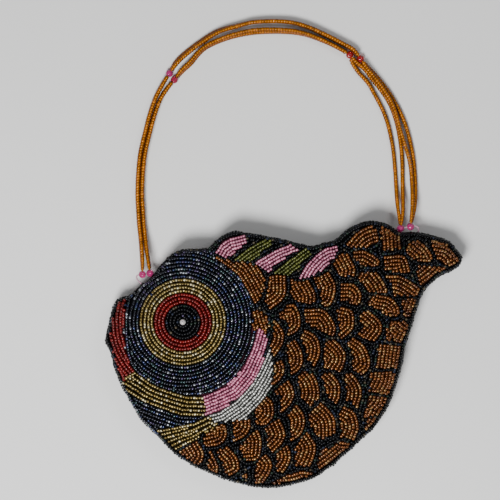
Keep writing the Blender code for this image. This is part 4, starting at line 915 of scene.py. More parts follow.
def named_groups(bed):
    """The colour group of each bead, those of the filled rows by where they lie."""
    spots = np.array(bed.spots)[:, :2]
    names = np.array([group or "" for group in bed.groups], object)
    blank = names == ""
    clear = depth_in(spots, OUTLINE) > OFF_RIM - RIM_GIVE
    for name, shape in FIELDS.items():
        margin = 0 if name in WHOLE_FIELDS else FIELD_MARGIN
        own = blank & (depth_in(spots, LIP_SHAPE if name == "lips" else shape) > margin)
        if name == "lips" or name in GILL_ROWS:
            own &= clear
        names[own] = name
    names[(names == "") & ~outside_scales(spots, NAMED_OFF_SCALE) & clear] = "scales"
    names[names == ""] = "scale_field"
    return names


# Meshes
def placed(name, data):
    """An object of this data in the scene."""
    made = bpy.data.objects.new(name, data)
    bpy.context.scene.collection.objects.link(made)
    return made


def fill(items, key, values, kind=np.float32):
    """Gives every item of a collection its value."""
    items.foreach_set(key, values.reshape(-1).astype(kind))


def keep_tint(data, colours):
    """Keeps a colour with each point of a mesh, painted highlight and shade included."""
    fill(data.attributes.new("tint", "FLOAT_COLOR", "POINT").data, "color", colours)


def bead_pattern(profile, sides):
    """Points (along, sideways, up) and corner lists of one bead of unit length and radius."""
    turn = np.arange(sides) * math.tau / sides
    points = [(x, r * math.cos(t), r * math.sin(t)) for x, r in profile for t in turn]
    corners, starts, uvs = [], [], []
    for row in range(len(profile) - 1):
        for k in range(sides):
            nxt = (k + 1) % sides
            starts.append(len(corners))
            corners += [row * sides + k, (row + 1) * sides + k, (row + 1) * sides + nxt,
                        row * sides + nxt]
            low, high = (k + 0.5) / (sides + 1), (k + 1.5) / (sides + 1)
            v0, v1 = row / len(profile), (row + 1) / len(profile)
            uvs += [(low, v0), (low, v1), (high, v1), (high, v0)]
    last = (len(profile) - 1) * sides
    for base, order, middle in zip((0, last), (range(sides), range(sides)[::-1]), CAP_PLACES):
        starts.append(len(corners))
        for k in order:
            corners.append(base + k)
            uvs.append((middle + CAP_WIDE * math.cos(turn[k]),
                        CAP_ROW + CAP_HIGH * math.sin(turn[k])))
    return np.array(points), np.array(corners), np.array(starts), np.array(uvs)


def bead_mesh(name, centres, ways, ups, lengths, radii, highlight_colours, shade_colours, profile=PROFILE,
              sides=SIDES):
    """One mesh of many beads; each runs along its way, and its colour, a painted highlight on its
    top fading into painted shade on its sides and ends, is kept with its points.
    """
    points, corners, starts, uvs = bead_pattern(profile, sides)
    ways = ways / np.linalg.norm(ways, axis=1)[:, None]
    across = np.cross(ups, ways)
    across /= np.linalg.norm(across, axis=1)[:, None]
    ups = np.cross(ways, across)
    count, size = len(centres), len(points)
    number = np.arange(count)
    place = (centres[:, None]
             + ways[:, None] * (points[:, 0] * lengths[:, None])[..., None]
             + across[:, None] * (points[:, 1] * radii[:, None])[..., None]
             + ups[:, None] * (points[:, 2] * radii[:, None])[..., None])
    data = bpy.data.meshes.new(name)
    data.vertices.add(count * size)
    fill(data.vertices, "co", place)
    data.loops.add(count * len(corners))
    fill(data.loops, "vertex_index", number[:, None] * size + corners, np.int32)
    data.polygons.add(count * len(starts))
    fill(data.polygons, "loop_start", number[:, None] * len(corners) + starts, np.int32)
    fill(data.polygons, "use_smooth", np.ones(count * len(starts)), bool)
    data.update(calc_edges=True)
    # Painted highlight and shade: the top middle of each bead takes its highlight colour, its sides
    # and ends its shade colour
    away = np.maximum(np.abs(points[:, 1]) ** HIGHLIGHT_FADE_SIDE, np.abs(points[:, 0] * 2) ** HIGHLIGHT_FADE_END)
    share = eased(away)[None, :, None]
    colour = highlight_colours[:, None] * (1 - share) + shade_colours[:, None] * share
    keep_tint(data, np.concatenate((colour, np.ones((count, size, 1))), 2))
    cells = math.ceil(math.sqrt(count))
    corner = np.stack((number % cells, number // cells), -1)
    spread = (corner[:, None] + UV_MARGIN + (1 - 2 * UV_MARGIN) * uvs[None]) / cells
    fill(data.uv_layers.new(name="OFBake").uv, "vector", spread)
    return placed(name, data)


def mesh_piece(name, points, faces, look, smooth=True):
    """An object from points and faces, all its faces turned outwards."""
    data = bpy.data.meshes.new(name)
    data.from_pydata([tuple(map(float, p)) for p in points], [], [tuple(f) for f in faces])
    data.materials.append(look)
    made = placed(name, data)
    bpy.context.view_layer.objects.active = made
    bm = bmesh.new()
    bm.from_mesh(data)
    bmesh.ops.recalc_face_normals(bm, faces=bm.faces)
    bm.to_mesh(data)
    bm.free()
    for face in data.polygons:
        face.use_smooth = smooth
    return made


def tube_faces(rings, sides, start=0, closed=False):
    """Faces of a tube of rings of points, with end caps unless it closes on itself."""
    faces = []
    for row in range(rings if closed else rings - 1):
        low, high = start + row * sides, start + (row + 1) % rings * sides
        faces += [(low + k, low + (k + 1) % sides, high + (k + 1) % sides, high + k)
                  for k in range(sides)]
    if not closed:
        last = start + (rings - 1) * sides
        faces += [tuple(range(start, start + sides)), tuple(range(last, last + sides))]
    return faces


def side_and_up(way):
    """Two directions square to the way and to each other, the first one level."""
    side = unit(np.cross(way, UP))
    return side, np.cross(side, way)


def ball_profile(hole, steps=12):
    """Half section of a pierced ball of unit radius, from one end of its hole to the other."""
    reach = math.asin(hole)
    turn = np.linspace(reach, math.pi - reach, steps)
    return [(-math.cos(t), math.sin(t)) for t in turn]


def pierced_ball(name, place, way, radius, hole, look, sides=28):
    """A ball with a hole through it, turned round its hole's line."""
    outside = ball_profile(hole / radius)
    inside = [(x, hole / radius) for x in np.linspace(outside[-1][0], outside[0][0], 4)[1:-1]]
    section = outside + inside
    way = unit(np.asarray(way, float))
    side, up = side_and_up(way)
    turn = np.arange(sides) * math.tau / sides
    points = [place + radius * (way * x + r * (side * math.cos(t) + up * math.sin(t)))
              for x, r in section for t in turn]
    return mesh_piece(name, points, tube_faces(len(section), sides, closed=True), look)


def rope(name, line, radius, look, sides=10, plies=3, lay=0.0016, ridge=0.14):
    """A twisted thread along a line, its plies showing as a spiral ridge."""
    whole = length_of(line)
    count = int(whole / (radius * ROPE_STEP_SHARE))
    points = []
    for number, (centre, way) in enumerate(zip(*spaced(line, np.linspace(0, whole, count)))):
        side, up = side_and_up(way)
        spin = number * whole / count / lay * math.tau / plies
        for k in range(sides):
            t = k * math.tau / sides
            r = radius * (1 - ridge + ridge * math.cos(plies * (t - spin)))
            points.append(centre + side * r * math.cos(t) + up * r * math.sin(t))
    return mesh_piece(name, points, tube_faces(count, sides), look)


def bevel(piece):
    """Worn edges, in two steps."""
    step = piece.modifiers.new("worn_edges", "BEVEL")
    step.width = WORN_EDGE
    step.segments = 2
    step.limit_method = "ANGLE"
    step.angle_limit = math.radians(WORN_ANGLE)


def settle(piece, body, *nodes):
    """The piece rides on its body and takes the place of its solids."""
    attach(piece, body)
    if nodes:
        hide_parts(*nodes)


# Colours
def linear(colour):
    """A colour read from the picture, 0 to 255, as the light it stands for."""
    share = np.asarray(colour, float) / 255
    return np.where(share <= 0.04045, share / 12.92, ((share + 0.055) / 1.055) ** 2.4)


def full_colour(colour):
    return (*linear(colour), 1)


def lifted(rng, count):
    """How much lighter or darker each bead is than its colour."""
    return np.exp(rng.normal(0, LIFT_SPREAD, count))[:, None]


def coloured(names, rng):
    """Painted highlight colour of each bead's top and painted shade colour of its sides, drawn from
    its group's palette.
    """
    highlight_colours = np.zeros((len(names), 3))
    shade_colours = np.zeros((len(names), 3))
    for name in sorted(set(names)):
        shares, tops, sides = zip(*GROUPS[name][0])
        here = np.flatnonzero(names == name)
        pick = rng.choice(len(shares), len(here), p=shares)
        lift = lifted(rng, len(here))
        # Tops take the painted highlight colour, sides the painted shade colour
        highlight_colours[here] = linear(tops)[pick] * lift
        shade_colours[here] = linear(sides)[pick] * lift
    return highlight_colours, shade_colours


# Materials
def set_inputs(node, inputs):
    """Gives a node's inputs their values; what comes out of another node is linked."""
    for name, value in inputs.items():
        if isinstance(value, bpy.types.NodeSocket):
            node.id_data.links.new(value, node.inputs[name])
        else:
            node.inputs[name].default_value = value


def add_node(tree, kind, inputs=None, **settings):
    """A node of the tree with these settings and inputs."""
    node = tree.nodes.new(f"ShaderNode{kind}")
    for name, value in settings.items():
        setattr(node, name, value)
    set_inputs(node, inputs or {})
    return node


def new_look(name, roughness, inputs=None):
    """A material with its node tree and its shader."""
    made = bpy.data.materials.new(name)
    made.use_nodes = True
    shader = made.node_tree.nodes["Principled BSDF"]
    set_inputs(shader, {"Roughness": roughness, "Coat Roughness": 0.05, **(inputs or {})})
    return made, made.node_tree, shader


def noise(tree, scale, detail=2.0, stretch=(1, 1, 1)):
    """A noise texture on the object's own coordinates."""
    where = add_node(tree, "TexCoord").outputs["Object"]
    mapped = add_node(tree, "Mapping", {"Vector": where, "Scale": stretch}).outputs["Vector"]
    texture = add_node(tree, "TexNoise", {"Vector": mapped, "Scale": scale, "Detail": detail})
    return texture.outputs["Fac"]


def spread_to(tree, value, low, high):
    """The middle of a noise, 0.3 to 0.7, brought to another range."""
    node = add_node(tree, "MapRange", {"Value": value, "From Min": 0.3, "From Max": 0.7,
                                       "To Min": low, "To Max": high})
    return node.outputs["Result"]


def blend(tree, dark, light, value):
    """A colour between two others, by a 0 to 1 value."""
    node = add_node(tree, "Mix", {"A": full_colour(dark), "B": full_colour(light), "Factor": value},
                    data_type="RGBA")
    return node.outputs["Result"]


def times(tree, colour, value):
    """A colour made lighter or darker by a value."""
    node = add_node(tree, "VectorMath", {0: colour, "Scale": value}, operation="SCALE")
    return node.outputs["Vector"]


def tint_of(tree):
    return add_node(tree, "Attribute", attribute_name="tint").outputs["Color"]


def bumped(tree, value, distance, strength=1.0):
    node = add_node(tree, "Bump", {"Height": value, "Distance": distance, "Strength": strength})
    return node.outputs["Normal"]


def bead_look(name, metallic, roughness, coat, specular):
    """Glass beads: each bead's colour with its painted highlight and painted shade, slightly uneven
    in the glass and on its face.
    """
    made, tree, shader = new_look(name, roughness, {
        "Metallic": metallic, "Coat Weight": coat, "Specular IOR Level": specular})
    cloud = spread_to(tree, noise(tree, 1400, 2), 0.82, 1.2)
    set_inputs(shader, {
        "Base Color": times(tree, tint_of(tree), cloud),
        "Roughness": spread_to(tree, noise(tree, 260, 3), roughness * 0.7, roughness * 1.5),
        "Normal": bumped(tree, noise(tree, 900, 2), 0.00004, 0.6)})
    return made


def cloth_look(name, dark, light, roughness, pitch, sheen, relief, wave_length=0.314):
    """Woven cloth: threads crossing at their pitch, over slow changes of colour."""
    made, tree, shader = new_look(name, roughness, {"Sheen Weight": sheen})
    where = add_node(tree, "TexCoord").outputs["Object"]
    waves = [add_node(tree, "TexWave",
                      {"Vector": where, "Scale": wave_length / pitch / 2, "Distortion": 0.6,
                       "Detail": 1}, wave_type="BANDS", bands_direction=way).outputs["Fac"]
             for way in ("X", "Y")]
    weave = add_node(tree, "Math", dict(enumerate(waves)), operation="MULTIPLY").outputs["Value"]
    slow = spread_to(tree, noise(tree, 60, 3), 0.8, 1.2)
    set_inputs(shader, {"Base Color": times(tree, blend(tree, dark, light, weave), slow),
                        "Normal": bumped(tree, weave, relief)})
    return made


def ground_look():
    """Plain weave, times the tinted shade painted on each part of the cloth."""
    made = cloth_look("bead_cloth", (150, 150, 150), (255, 255, 255), 0.85, 0.0005, 0.0, 0.00008)
    tree = made.node_tree
    shader = tree.nodes["Principled BSDF"]
    woven = shader.inputs["Base Color"].links[0].from_socket
    painted_shade = add_node(tree, "VectorMath", {0: woven, 1: tint_of(tree)}, operation="MULTIPLY")
    set_inputs(shader, {"Specular IOR Level": 0.1, "Base Color": painted_shade.outputs["Vector"]})
    return made


def glass_look(name, colour, deep, weight, roughness=0.06):
    """Clear coloured glass with streaks in it."""
    made, tree, shader = new_look(name, roughness, {"Transmission Weight": weight, "IOR": 1.5})
    set_inputs(shader, {
        "Base Color": blend(tree, colour, deep, noise(tree, 420, 3)),
        "Roughness": spread_to(tree, noise(tree, 700, 2), roughness * 0.6, roughness * 1.8)})
    return made


def metal_look(name, dark, light, roughness):
    """Brushed zip metal, duller where it has been handled."""
    made, tree, shader = new_look(name, roughness, {"Metallic": 1.0})
    brushed = noise(tree, 900, 2, (1, 12, 1))
    set_inputs(shader, {
        "Base Color": blend(tree, dark, light, noise(tree, 500, 3)),
        "Roughness": spread_to(tree, brushed, roughness * 0.8, roughness * 1.5),
        "Normal": bumped(tree, brushed, 0.00003, 0.5)})
    return made


def pearl_look():
    """Pale pearl under a soft clear skin."""
    made, tree, shader = new_look("pearl_lustre", 0.22, {
        "Coat Weight": 0.8, "Coat Roughness": 0.12, "Subsurface Weight": 0.15,
        "Subsurface Scale": 0.0006})
    pale = blend(tree, (168, 164, 160), (196, 190, 190), noise(tree, 500, 3))
    set_inputs(shader, {"Base Color": pale})
    return made


def floor_look():
    """Pale paper, a little uneven."""
    made, tree, shader = new_look("floor_paper", 0.7)
    tone = add_node(tree, "RGB").outputs[0]
    tone.default_value = full_colour((232, 232, 231))
    slow = spread_to(tree, noise(tree, 3, 2), 0.98, 1.02)
    set_inputs(shader, {"Base Color": times(tree, tone, slow)})
    return made


# Strap
def bead_place(name):
    if name in AXIS_BEADS:
        return np.array((*at(AXIS_BEADS[name]), SEAM_Z))
    return np.array((*at(REST_BEADS[name]), BEAD_REST_Z))


def strand_height(spot, start, end, level):
    """Height on a strand's route: on the table, and rising to the bead at each end."""
    height = STRAND_HIGH if level == "high" else STRAND_LOW
    for name in (start, end):
        if name in AXIS_BEADS:
            away = np.linalg.norm(spot - at(AXIS_BEADS[name])) / DROP_LENGTH
            raised = SEAM_Z + (-END_SPREAD if level == "low" else END_SPREAD)
        else:
            away = np.linalg.norm(spot - at(REST_BEADS[name])) / CROSS_LENGTH
            raised = height if level == "low" else STRAND_HIGH
        height += (raised - height) * (1 - eased(away))
    return height


def strand_route(start, end, level, route, step=STRAND_STEP):
    """Centre line of a strand, from one bead's surface to the other's."""
    spots = list(at(route))
    first, last = bead_place(start)[:2], bead_place(end)[:2]
    spots.insert(0, first + unit(spots[0] - first) * END_REACH)
    spots.append(last + unit(spots[-1] - last) * END_REACH)
    smooth = curve_through(spots, step)
    return np.array([(*spot, strand_height(spot, start, end, level)) for spot in smooth])


def strand(name, start, end, level, route, rng):
    """Amber beads threaded on a strand: the piece, its route and the route's length."""
    line = strand_route(start, end, level, route, ROUTE_STEP)
    whole = length_of(line)
    from_bag = np.linspace(0, whole, len(line))
    if end in AXIS_BEADS:
        from_bag = whole - from_bag
    elif start not in AXIS_BEADS:
        from_bag = whole + from_bag
    raised = (from_bag / STRAND_TAPER).clip(0, 1)
    if level == "high":
        raised = raised * HIGH_LIFT - HIGH_SINK
    line[:, 2] += STRAND_RADIUS * (STRAND_FULL - 1) * raised
    count = int(whole / STRAND_BEAD_LENGTH)
    pitch = whole / count
    places = (np.arange(count) + 0.5) * pitch
    centres, ways = spaced(line, places)
    way_spread, length_shares, width_shares = STRAND_UNEVEN
    lengths = pitch * rng.uniform(*length_shares, count)
    away = np.interp(places, np.linspace(0, whole, len(line)), from_bag)
    slim = 1 - (1 - away / STRAND_TAPER).clip(0, 1) * STRAND_SLIM
    radii = STRAND_RADIUS * STRAND_FULL * slim * rng.uniform(*width_shares, count)
    ways = ways + rng.normal(0, way_spread, ways.shape)
    lift = lifted(rng, count)
    tips = np.array((unit(line[0] - line[1]), unit(line[-1] - line[-2])))
    centres = np.concatenate((centres, line[[0, -1]] + tips * END_CLEAR * TIP_OUT_SHARE))
    ways = np.concatenate((ways, tips))
    ups = np.tile(UP, (len(ways), 1))
    lengths = np.append(lengths, [END_CLEAR * TIP_LENGTH_SHARE] * 2)
    radii = np.append(radii, [TIP_RADIUS] * 2)
    # Painted highlight along each strand bead's core and painted shade on its sides
    highlight_core, side = (linear(colour) * np.append(lift, lift[[0, 0]], 0)
                  for colour in (STRAND_HIGHLIGHT, STRAND_SHADE))
    made = bead_mesh(name + "_beads", centres, ways, ups, lengths, radii, highlight_core, side,
                     STRAND_PROFILE, STRAND_SIDES)
    made.data.materials.append(LOOKS["amber"])
    settle(made, "strap", name)
    path = strand_route(start, end, level, route)
    return made, path, length_of(path)


def rest_way(name):
    """The way a loose bead's hole points: from the strands on one side to those on the other."""
    spot = at(REST_BEADS[name])
    ways = []
    for _, start, end, _, route in STRANDS:
        if start == name:
            ways.append(unit(at(route[0]) - spot))
        if end == name:
            ways.append(unit(spot - at(route[-1])))
    return (*np.sum(ways, 0), 0)


def make_strap():
    """Twelve strands and eight round beads."""
    rng = np.random.default_rng(11)
    made = {}
    for name, start, end, level, route in STRANDS:
        made[name] = (*strand(name, start, end, level, route, rng), start, end)
    for name in (*AXIS_BEADS, *REST_BEADS):
        bored = name in AXIS_BEADS
        way = (*STRAP_AXIS, 0) if bored else rest_way(name)
        hole = BEAD_HOLE if bored else REST_HOLE
        look = LOOKS["ruby" if "upper_right" in name else
                     "rose_glass" if name == "upper_left_inner" else "pink_glass"]
        ball = pierced_ball(f"round_{name}", bead_place(name), way, BEAD_RADIUS * BALL_FULL,
                            hole, look)
        settle(ball, "strap", f"bead_{name}")
    given = set()
    for name, (piece, path, length, start, end) in made.items():
        given.update((start, end))


# Camera, floor and light
def make_camera():
    """Looks straight down on the middle of the picture."""
    data = bpy.data.cameras.new("camera")
    made = placed("camera", data)
    made.location = (*at((PHOTO_SIDE / 2, PHOTO_SIDE / 2)), SEAM_Z + SIGHT_HEIGHT)
    data.sensor_width = SENSOR
    data.lens = SENSOR * SIGHT_HEIGHT / (PHOTO_SIDE * PIXEL)
    data.clip_end = 10
    bpy.context.scene.camera = made


def make_stage():
    """Paper floor under an even sky, with a key lamp and a fill lamp."""
    corners = ((-1, -1), (1, -1), (1, 1), (-1, 1))
    points = [(x * FLOOR_REACH, y * FLOOR_REACH, 0) for x, y in corners]
    floor = mesh_piece("floor", points, [(0, 1, 2, 3)], LOOKS["floor"])
    world = bpy.context.scene.world or bpy.data.worlds.new("world")
    bpy.context.scene.world = world
    world.use_nodes = True
    set_inputs(world.node_tree.nodes["Background"], {"Color": SKY, "Strength": SKY_STRENGTH})
    for name, place, power, size in LAMPS:
        data = bpy.data.lights.new(name, "AREA")
        data.energy = power
        data.shape = "DISK"
        data.size = size
        made = placed(name, data)
        made.location = place
        made.rotation_euler = (-Vector(place)).to_track_quat("-Z", "Y").to_euler()


# Panels and linings
def turning(loop):
    """Twice the area of a loop, negative where it runs clockwise."""
    after = np.roll(loop, -1, 0)
    return float((loop[:, 0] * after[:, 1] - loop[:, 1] * after[:, 0]).sum())


def plan_points(step):
    """Points for the panels' meshes: the outline, then rings inside it and a grid."""
    loop = BORDER[::-1] if turning(BORDER) < 0 else BORDER
    edge = []
    for a, b in zip(loop, np.roll(loop, -1, 0)):
        count = max(1, round(float(np.linalg.norm(b - a)) / step))
        edge += [a + (b - a) * k / count for k in range(count)]
    edge = np.array(edge)
    ahead = np.roll(edge, -1, 0) - np.roll(edge, 1, 0)
    ahead /= np.linalg.norm(ahead, axis=1)[:, None]
    rings = []
    for depth in RING_DEPTHS:
        moved = edge + left_of(ahead) * depth
        good = np.abs(depth_in(moved, BORDER) - depth) < depth * RING_GIVE_SHARE
        stride = max(1, round(depth / step / RING_STRIDE_SHARE))
        rings.append(moved[good][::stride])
    grid = grid_over(BORDER.min(0), BORDER.max(0), step * GRID_SHARE)
    rings.append(grid[depth_in(grid, BORDER) > GRID_IN])
    return edge, np.concatenate(rings)


def plan_triangles():
    """Points and triangles of the bag's plan."""
    edge, others = plan_points(FINE_STEP)
    points = [Vector(p) for p in np.concatenate((edge, others))]
    made = geometry.delaunay_2d_cdt(points, [], [list(range(len(edge)))], 1, LEAST_EDGE)
    places = np.array([tuple(p) for p in made[0]])
    triangles = []
    for t in made[2]:
        a, b, c = places[list(t)]
        up = (b[0] - a[0]) * (c[1] - a[1]) - (b[1] - a[1]) * (c[0] - a[0])
        triangles.append(tuple(t) if up > 0 else tuple(t)[::-1])
    return places, triangles


def shell(name, plan, triangles, low, high, look):
    """A closed sheet of cloth between two heights over the same plan."""
    used = sorted({i for t in triangles for i in t})
    number = {i: k for k, i in enumerate(used)}
    plan, low, high = plan[used], low[used], high[used]
    triangles = [tuple(number[i] for i in t) for t in triangles]
    count = len(plan)
    points = np.concatenate((np.c_[plan, high], np.c_[plan, low]))
    faces = list(triangles) + [(c + count, b + count, a + count) for a, b, c in triangles]
    sides = {(t[i - 1], t[i]) for t in triangles for i in range(3)}
    faces += [(a + count, b + count, b, a) for a, b in sides if (b, a) not in sides]
    return mesh_piece(name, points, faces, look)


def puckers(plan):
    """Small folds beside the seam, drawn in by the stitches."""
    inside = depth_in(plan, BORDER)
    angle = np.arctan2(plan[:, 1], plan[:, 0] - PUCKER_CENTRE)
    folds = sum(np.sin(angle * count + turn) * share for count, turn, share in PUCKER_WAVES)
    return PUCKER * folds * eased(1 - inside / PUCKER_DEPTH) * eased(inside / PUCKER_IN)


def make_panels():
    """Cloth under the beads, satin back, and a lining inside each."""
    plan, triangles = plan_triangles()
    depth = depth_in(plan, BORDER)

    def deeper(margin):
        return [t for t in triangles if min(depth[list(t)]) > margin]

    under = front_under(plan)
    over = back_over(plan)
    ground = shell("front_cloth", plan, deeper(CLOTH_IN), under, under + GROUND_THICK,
                   LOOKS["ground"])
    paint_cloth_shade(ground)
    settle(ground, "bag", "front_panel")
    face = over + puckers(plan)
    back = shell("back_cloth", plan, deeper(CLOTH_IN / 2), np.maximum(face - BACK_THICK, 0), face,
                 LOOKS["satin"])
    settle(back, "bag", "back_panel")
    inner = deeper(LINING_INSET * LINING_IN_SHARE)
    for name, low in (("front", under - LINING_GAP - LINING_THICK), ("back", over + LINING_GAP)):
        piece = shell(f"lining_cloth_{name}", plan, inner, low, low + LINING_THICK,
                      LOOKS["lining"])
        settle(piece, "bag", f"lining_{name}")


def paint_cloth_shade(piece):
    """Paints the cloth under each field with a tinted shade towards the colour of its beads."""
    data = piece.data
    spots = np.empty(len(data.vertices) * 3)
    data.vertices.foreach_get("co", spots)
    plan = back_to_picture(spots.reshape(-1, 3)[:, :2])
    away = np.linalg.norm(plan - EYE_CENTRE, axis=1)
    painted_shade = [("scale_field", slice(None)), ("scales", ~outside_scales(plan, 0.0))]
    painted_shade += [(name, depth_in(plan, shape) > 0) for name, shape in FIELDS.items()]
    painted_shade += [(name, away < reach) for name, reach in EYE_RINGS]
    colours = np.ones((len(plan), 4))
    for name, here in painted_shade:
        colours[here, :3] = linear(GROUPS[name][1])
    keep_tint(data, colours)


# Sewn beads
def front_places(spots):
    """Centre, row direction and outward direction of each sewn bead."""
    plan = at(spots[:, :2])
    way = np.stack((spots[:, 2], -spots[:, 3]), -1)
    rise = slope_of(front_under, plan)
    ups = np.c_[-rise, np.ones(len(plan))]
    ups /= np.linalg.norm(ups, axis=1)[:, None]
    height = front_under(plan) + GROUND_THICK + BEAD_TOP / np.maximum(ups[:, 2], LEAST_UP)
    return np.c_[plan, height], np.c_[way, (rise * way).sum(1)], ups


def uneven_beads(rng, ways, ups, names, uneven):
    """Ways, outward directions, lengths, radii and colours, as beads sewn by hand have them."""
    way_spread, up_spread, length_shares, width_shares = uneven
    ways = ways + rng.normal(0, way_spread, ways.shape)
    ups = ups + rng.normal(0, up_spread, ups.shape)
    lengths = BEAD_LENGTH * rng.uniform(*length_shares, len(ways))
    radii = BEAD_WIDE / 2 * rng.uniform(*width_shares, len(ways))
    return ways, ups, lengths, radii, *coloured(names, rng)


def sewn_piece(name, parts, slot, *nodes):
    """One mesh of sewn beads in the look of its group."""
    piece = bead_mesh(f"beads_{name}", *parts)
    piece.data.materials.append(bead_look(f"glass_{name}", *GROUPS[name][2]))
    settle(piece, "bag", *nodes)


def make_front_beads():
    """Every group of sewn beads; the rows of the scales lie on the scale field's solid."""
    rng = np.random.default_rng(7)
    bed = sewn_front()
    names = named_groups(bed)
    spots = np.array(bed.spots, float)
    spots[:, :2] += rng.normal(0, SPOT_SPREAD, (len(spots), 2))
    centres, ways, ups = front_places(spots)
    ways, ups, lengths, radii, highlight_colours, shade_colours = uneven_beads(rng, ways, ups, names, SEWN_UNEVEN)
    radii[np.isin(names, CLOSE_FIELDS)] *= CLOSE_STEP / ACROSS_STEP
    parts = (centres, ways, ups, lengths, radii, highlight_colours, shade_colours)
    for name in sorted(set(names)):
        own = [part[names == name] for part in parts]
        if name == "scales":
            sewn_piece(name, own, "scale_field")
        else:
            sewn_piece(name, own, name, name)


def make_rims():
    """Black beads sewn along the edge of each panel."""
    rng = np.random.default_rng(5)
    line = at(edge_line(RIM_IN / PIXEL))
    turn = np.sign(turning(line))
    count = int(length_of(line) / (BEAD_LENGTH * RIM_PITCH_SHARE))
    where, way = spaced(line, (np.arange(count) + 0.5) * length_of(line) / count)
    ways = np.c_[way, np.zeros(count)]
    ups = np.tile(UP, (count, 1))
    for name, height, side in (("rim_front", front_under, 1), ("rim_back", back_over, -1)):
        astray = rng.uniform(*RIM_ASTRAY, count)
        centres = np.c_[where - left_of(way) * astray[:, None] * turn,
                        height(outward(where)) + side * BEAD_TOP]
        names = np.array([name] * count, object)
        sewn_piece(name, (centres, *uneven_beads(rng, ways, ups, names, RIM_UNEVEN)), "fin_ground")


def outward(plan):
    """The same places moved onto the outline."""
    moved = plan.copy()
    for _ in range(2):
        depth = depth_in(moved, BORDER)
        rise = slope_of(lambda spots: depth_in(spots, BORDER), moved)
        size = np.maximum((rise ** 2).sum(1), LEAST_RISE_SQUARE)
        moved = moved - rise * ((depth - OUTLINE_IN) / size)[:, None]
    return moved


def make_pearl():
    """The pearl in the middle of the eye, where its solid is."""
    low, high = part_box("eye_pearl")
    middle = np.array((low + high) / 2)
    piece = pierced_ball("pearl_bead", middle, PEARL_WAY, PEARL_RADIUS, PEARL_HOLE,
                         LOOKS["pearl"], PEARL_SIDES)
    settle(piece, "bag", "eye_pearl")


# Rings of a zip tooth, foot to head: both sides along the row, height from the seam, width
TOOTH_RINGS = (
    (0.0, 1.0, ROW_FAR, 0.8),
    (0.0, 1.0, ROW_VALLEY + 0.0002, 0.8),
    (0.12, TOOTH_SHARE - 0.12, ROW_VALLEY - 0.0001, 0.9),
    (0.06, TOOTH_SHARE - 0.06, ROW_NEAR + 0.00022, 1.0),
    (0.1, TOOTH_SHARE - 0.1, ROW_NEAR + 0.00004, 0.9),
)


def zip_point(along, across, height):
    spot = CHORD_START + ALONG * along + ACROSS * (across - ZIP_BELOW_CHORD)
    return np.array((*spot, height))


def make_teeth():
    """Moulded teeth: a shank on the tape and a rounded head that meets its neighbours."""
    count = round((ZIP_END - ZIP_START) / TOOTH_PITCH)
    pitch = (ZIP_END - ZIP_START) / count
    for name, side in (("front", 1), ("back", -1)):
        points, faces = [], []
        for number in range(count):
            faces += tube_faces(len(TOOTH_RINGS), 4, len(points))
            points += tooth(ZIP_START + number * pitch, pitch, side)
        piece = mesh_piece(f"teeth_{name}", points, faces, LOOKS["teeth"], smooth=False)
        bevel(piece)
        settle(piece, "bag", f"zip_teeth_{name}")


def tooth(left, pitch, side):
    """Points of one tooth, from its foot to its head."""
    return [zip_point(left + along * pitch, across * ROW_HALF * wide, SEAM_Z + side * far)
            for low, high, far, wide in TOOTH_RINGS
            for along, across in ((low, -1), (high, -1), (high, 1), (low, 1))]


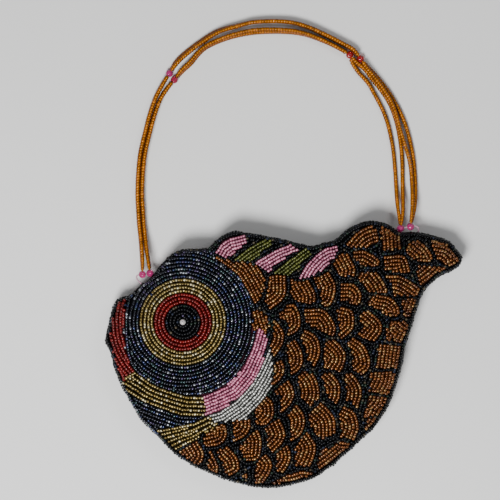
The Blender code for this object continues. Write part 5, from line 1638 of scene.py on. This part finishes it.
def make_tapes():
    """Woven tapes: a leg behind the teeth and a leg under the lining."""
    half = TAPE_THICK / 2
    outs = [half, *(-TAPE_REACH * k / TAPE_RIBS for k in range(1, TAPE_RIBS + 1))]
    stations = [TAPE_START + (TAPE_END - TAPE_START) * k / (TAPE_STATIONS - 1)
                for k in range(TAPE_STATIONS)]
    plan = np.array([zip_point(along, out, 0)[:2] for along in stations for out in (*outs, -half)])
    for name, side, face in (("front", 1, front_under), ("back", -1, back_over)):
        shift = side * (LINING_GAP + LINING_THICK + TAPE_GAP)
        level = (face(plan) - shift).reshape(TAPE_STATIONS, -1)
        edge = SEAM_Z + side * (ROW_FAR + GAP)
        points = []
        for along, tops in zip(stations, level):
            upper = list(zip(outs, tops))
            lower = [(out, top - side * TAPE_THICK) for out, top in upper[:0:-1]]
            ring = [(half, edge), *upper, *lower, (-half, tops[-1] - side * TAPE_THICK),
                    (-half, edge)]
            points += [zip_point(along, across, height) for across, height in ring]
        faces = tube_faces(TAPE_STATIONS, len(ring))
        piece = mesh_piece(f"tape_{name}", points, faces, LOOKS["tape"], smooth=False)
        settle(piece, "bag", f"zip_tape_{name}")


def dress_solids():
    """Metal on the slider, pull and stops, with worn edges."""
    for name in ("zip_slider", "zip_pull", "zip_bottom_stop", "zip_top_stop_front",
                 "zip_top_stop_back"):
        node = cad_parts[name]
        node.data.materials.clear()
        node.data.materials.append(LOOKS["metal"])
        bevel(node)


def make_threads():
    """A twisted thread loop at each end of the mouth, through its two end beads."""
    for name, route in (("left", LOOP_LEFT), ("right", LOOP_RIGHT)):
        line = curve_through(at(route), LOOP_STEP)
        line = np.c_[line, np.full(len(line), SEAM_Z)]
        piece = rope(f"thread_{name}", line, LOOP_RADIUS, LOOKS["thread"])
        settle(piece, "bag", f"thread_loop_{name}")


LOOKS = {
    "amber": bead_look("amber_glass", *STRAND_FINISH),
    "pink_glass": glass_look("pink_glass", (228, 84, 160), (190, 42, 116), 0.6),
    "rose_glass": glass_look("rose_glass", (222, 70, 112), (182, 36, 72), 0.65),
    "ruby": glass_look("ruby_glass", (225, 70, 70), (190, 40, 48), 0.75),
    "floor": floor_look(),
    "ground": ground_look(),
    "satin": cloth_look("black_satin", (10, 10, 12), (34, 34, 38), 0.5, 0.0003, 0.35, 0.00004),
    "lining": cloth_look("lining_satin", (46, 44, 50), (84, 82, 90), 0.42, 0.0003, 0.3, 0.00003),
    "tape": cloth_look("zip_tape", (8, 8, 9), (30, 30, 32), 0.85, 0.0006, 0.25, 0.00008),
    "thread": cloth_look("pale_thread", (176, 128, 150), (206, 172, 186), 0.5, 0.0002, 0.1,
                         0.00003),
    "metal": metal_look("zip_metal", (120, 112, 96), (168, 160, 142), 0.3),
    "teeth": metal_look("zip_teeth", (62, 62, 64), (112, 112, 116), 0.32),
    "pearl": pearl_look(),
}


def main():
    make_camera()
    make_strap()
    make_stage()
    make_panels()
    make_front_beads()
    make_rims()
    make_pearl()
    make_tapes()
    make_teeth()
    make_threads()
    dress_solids()


main()
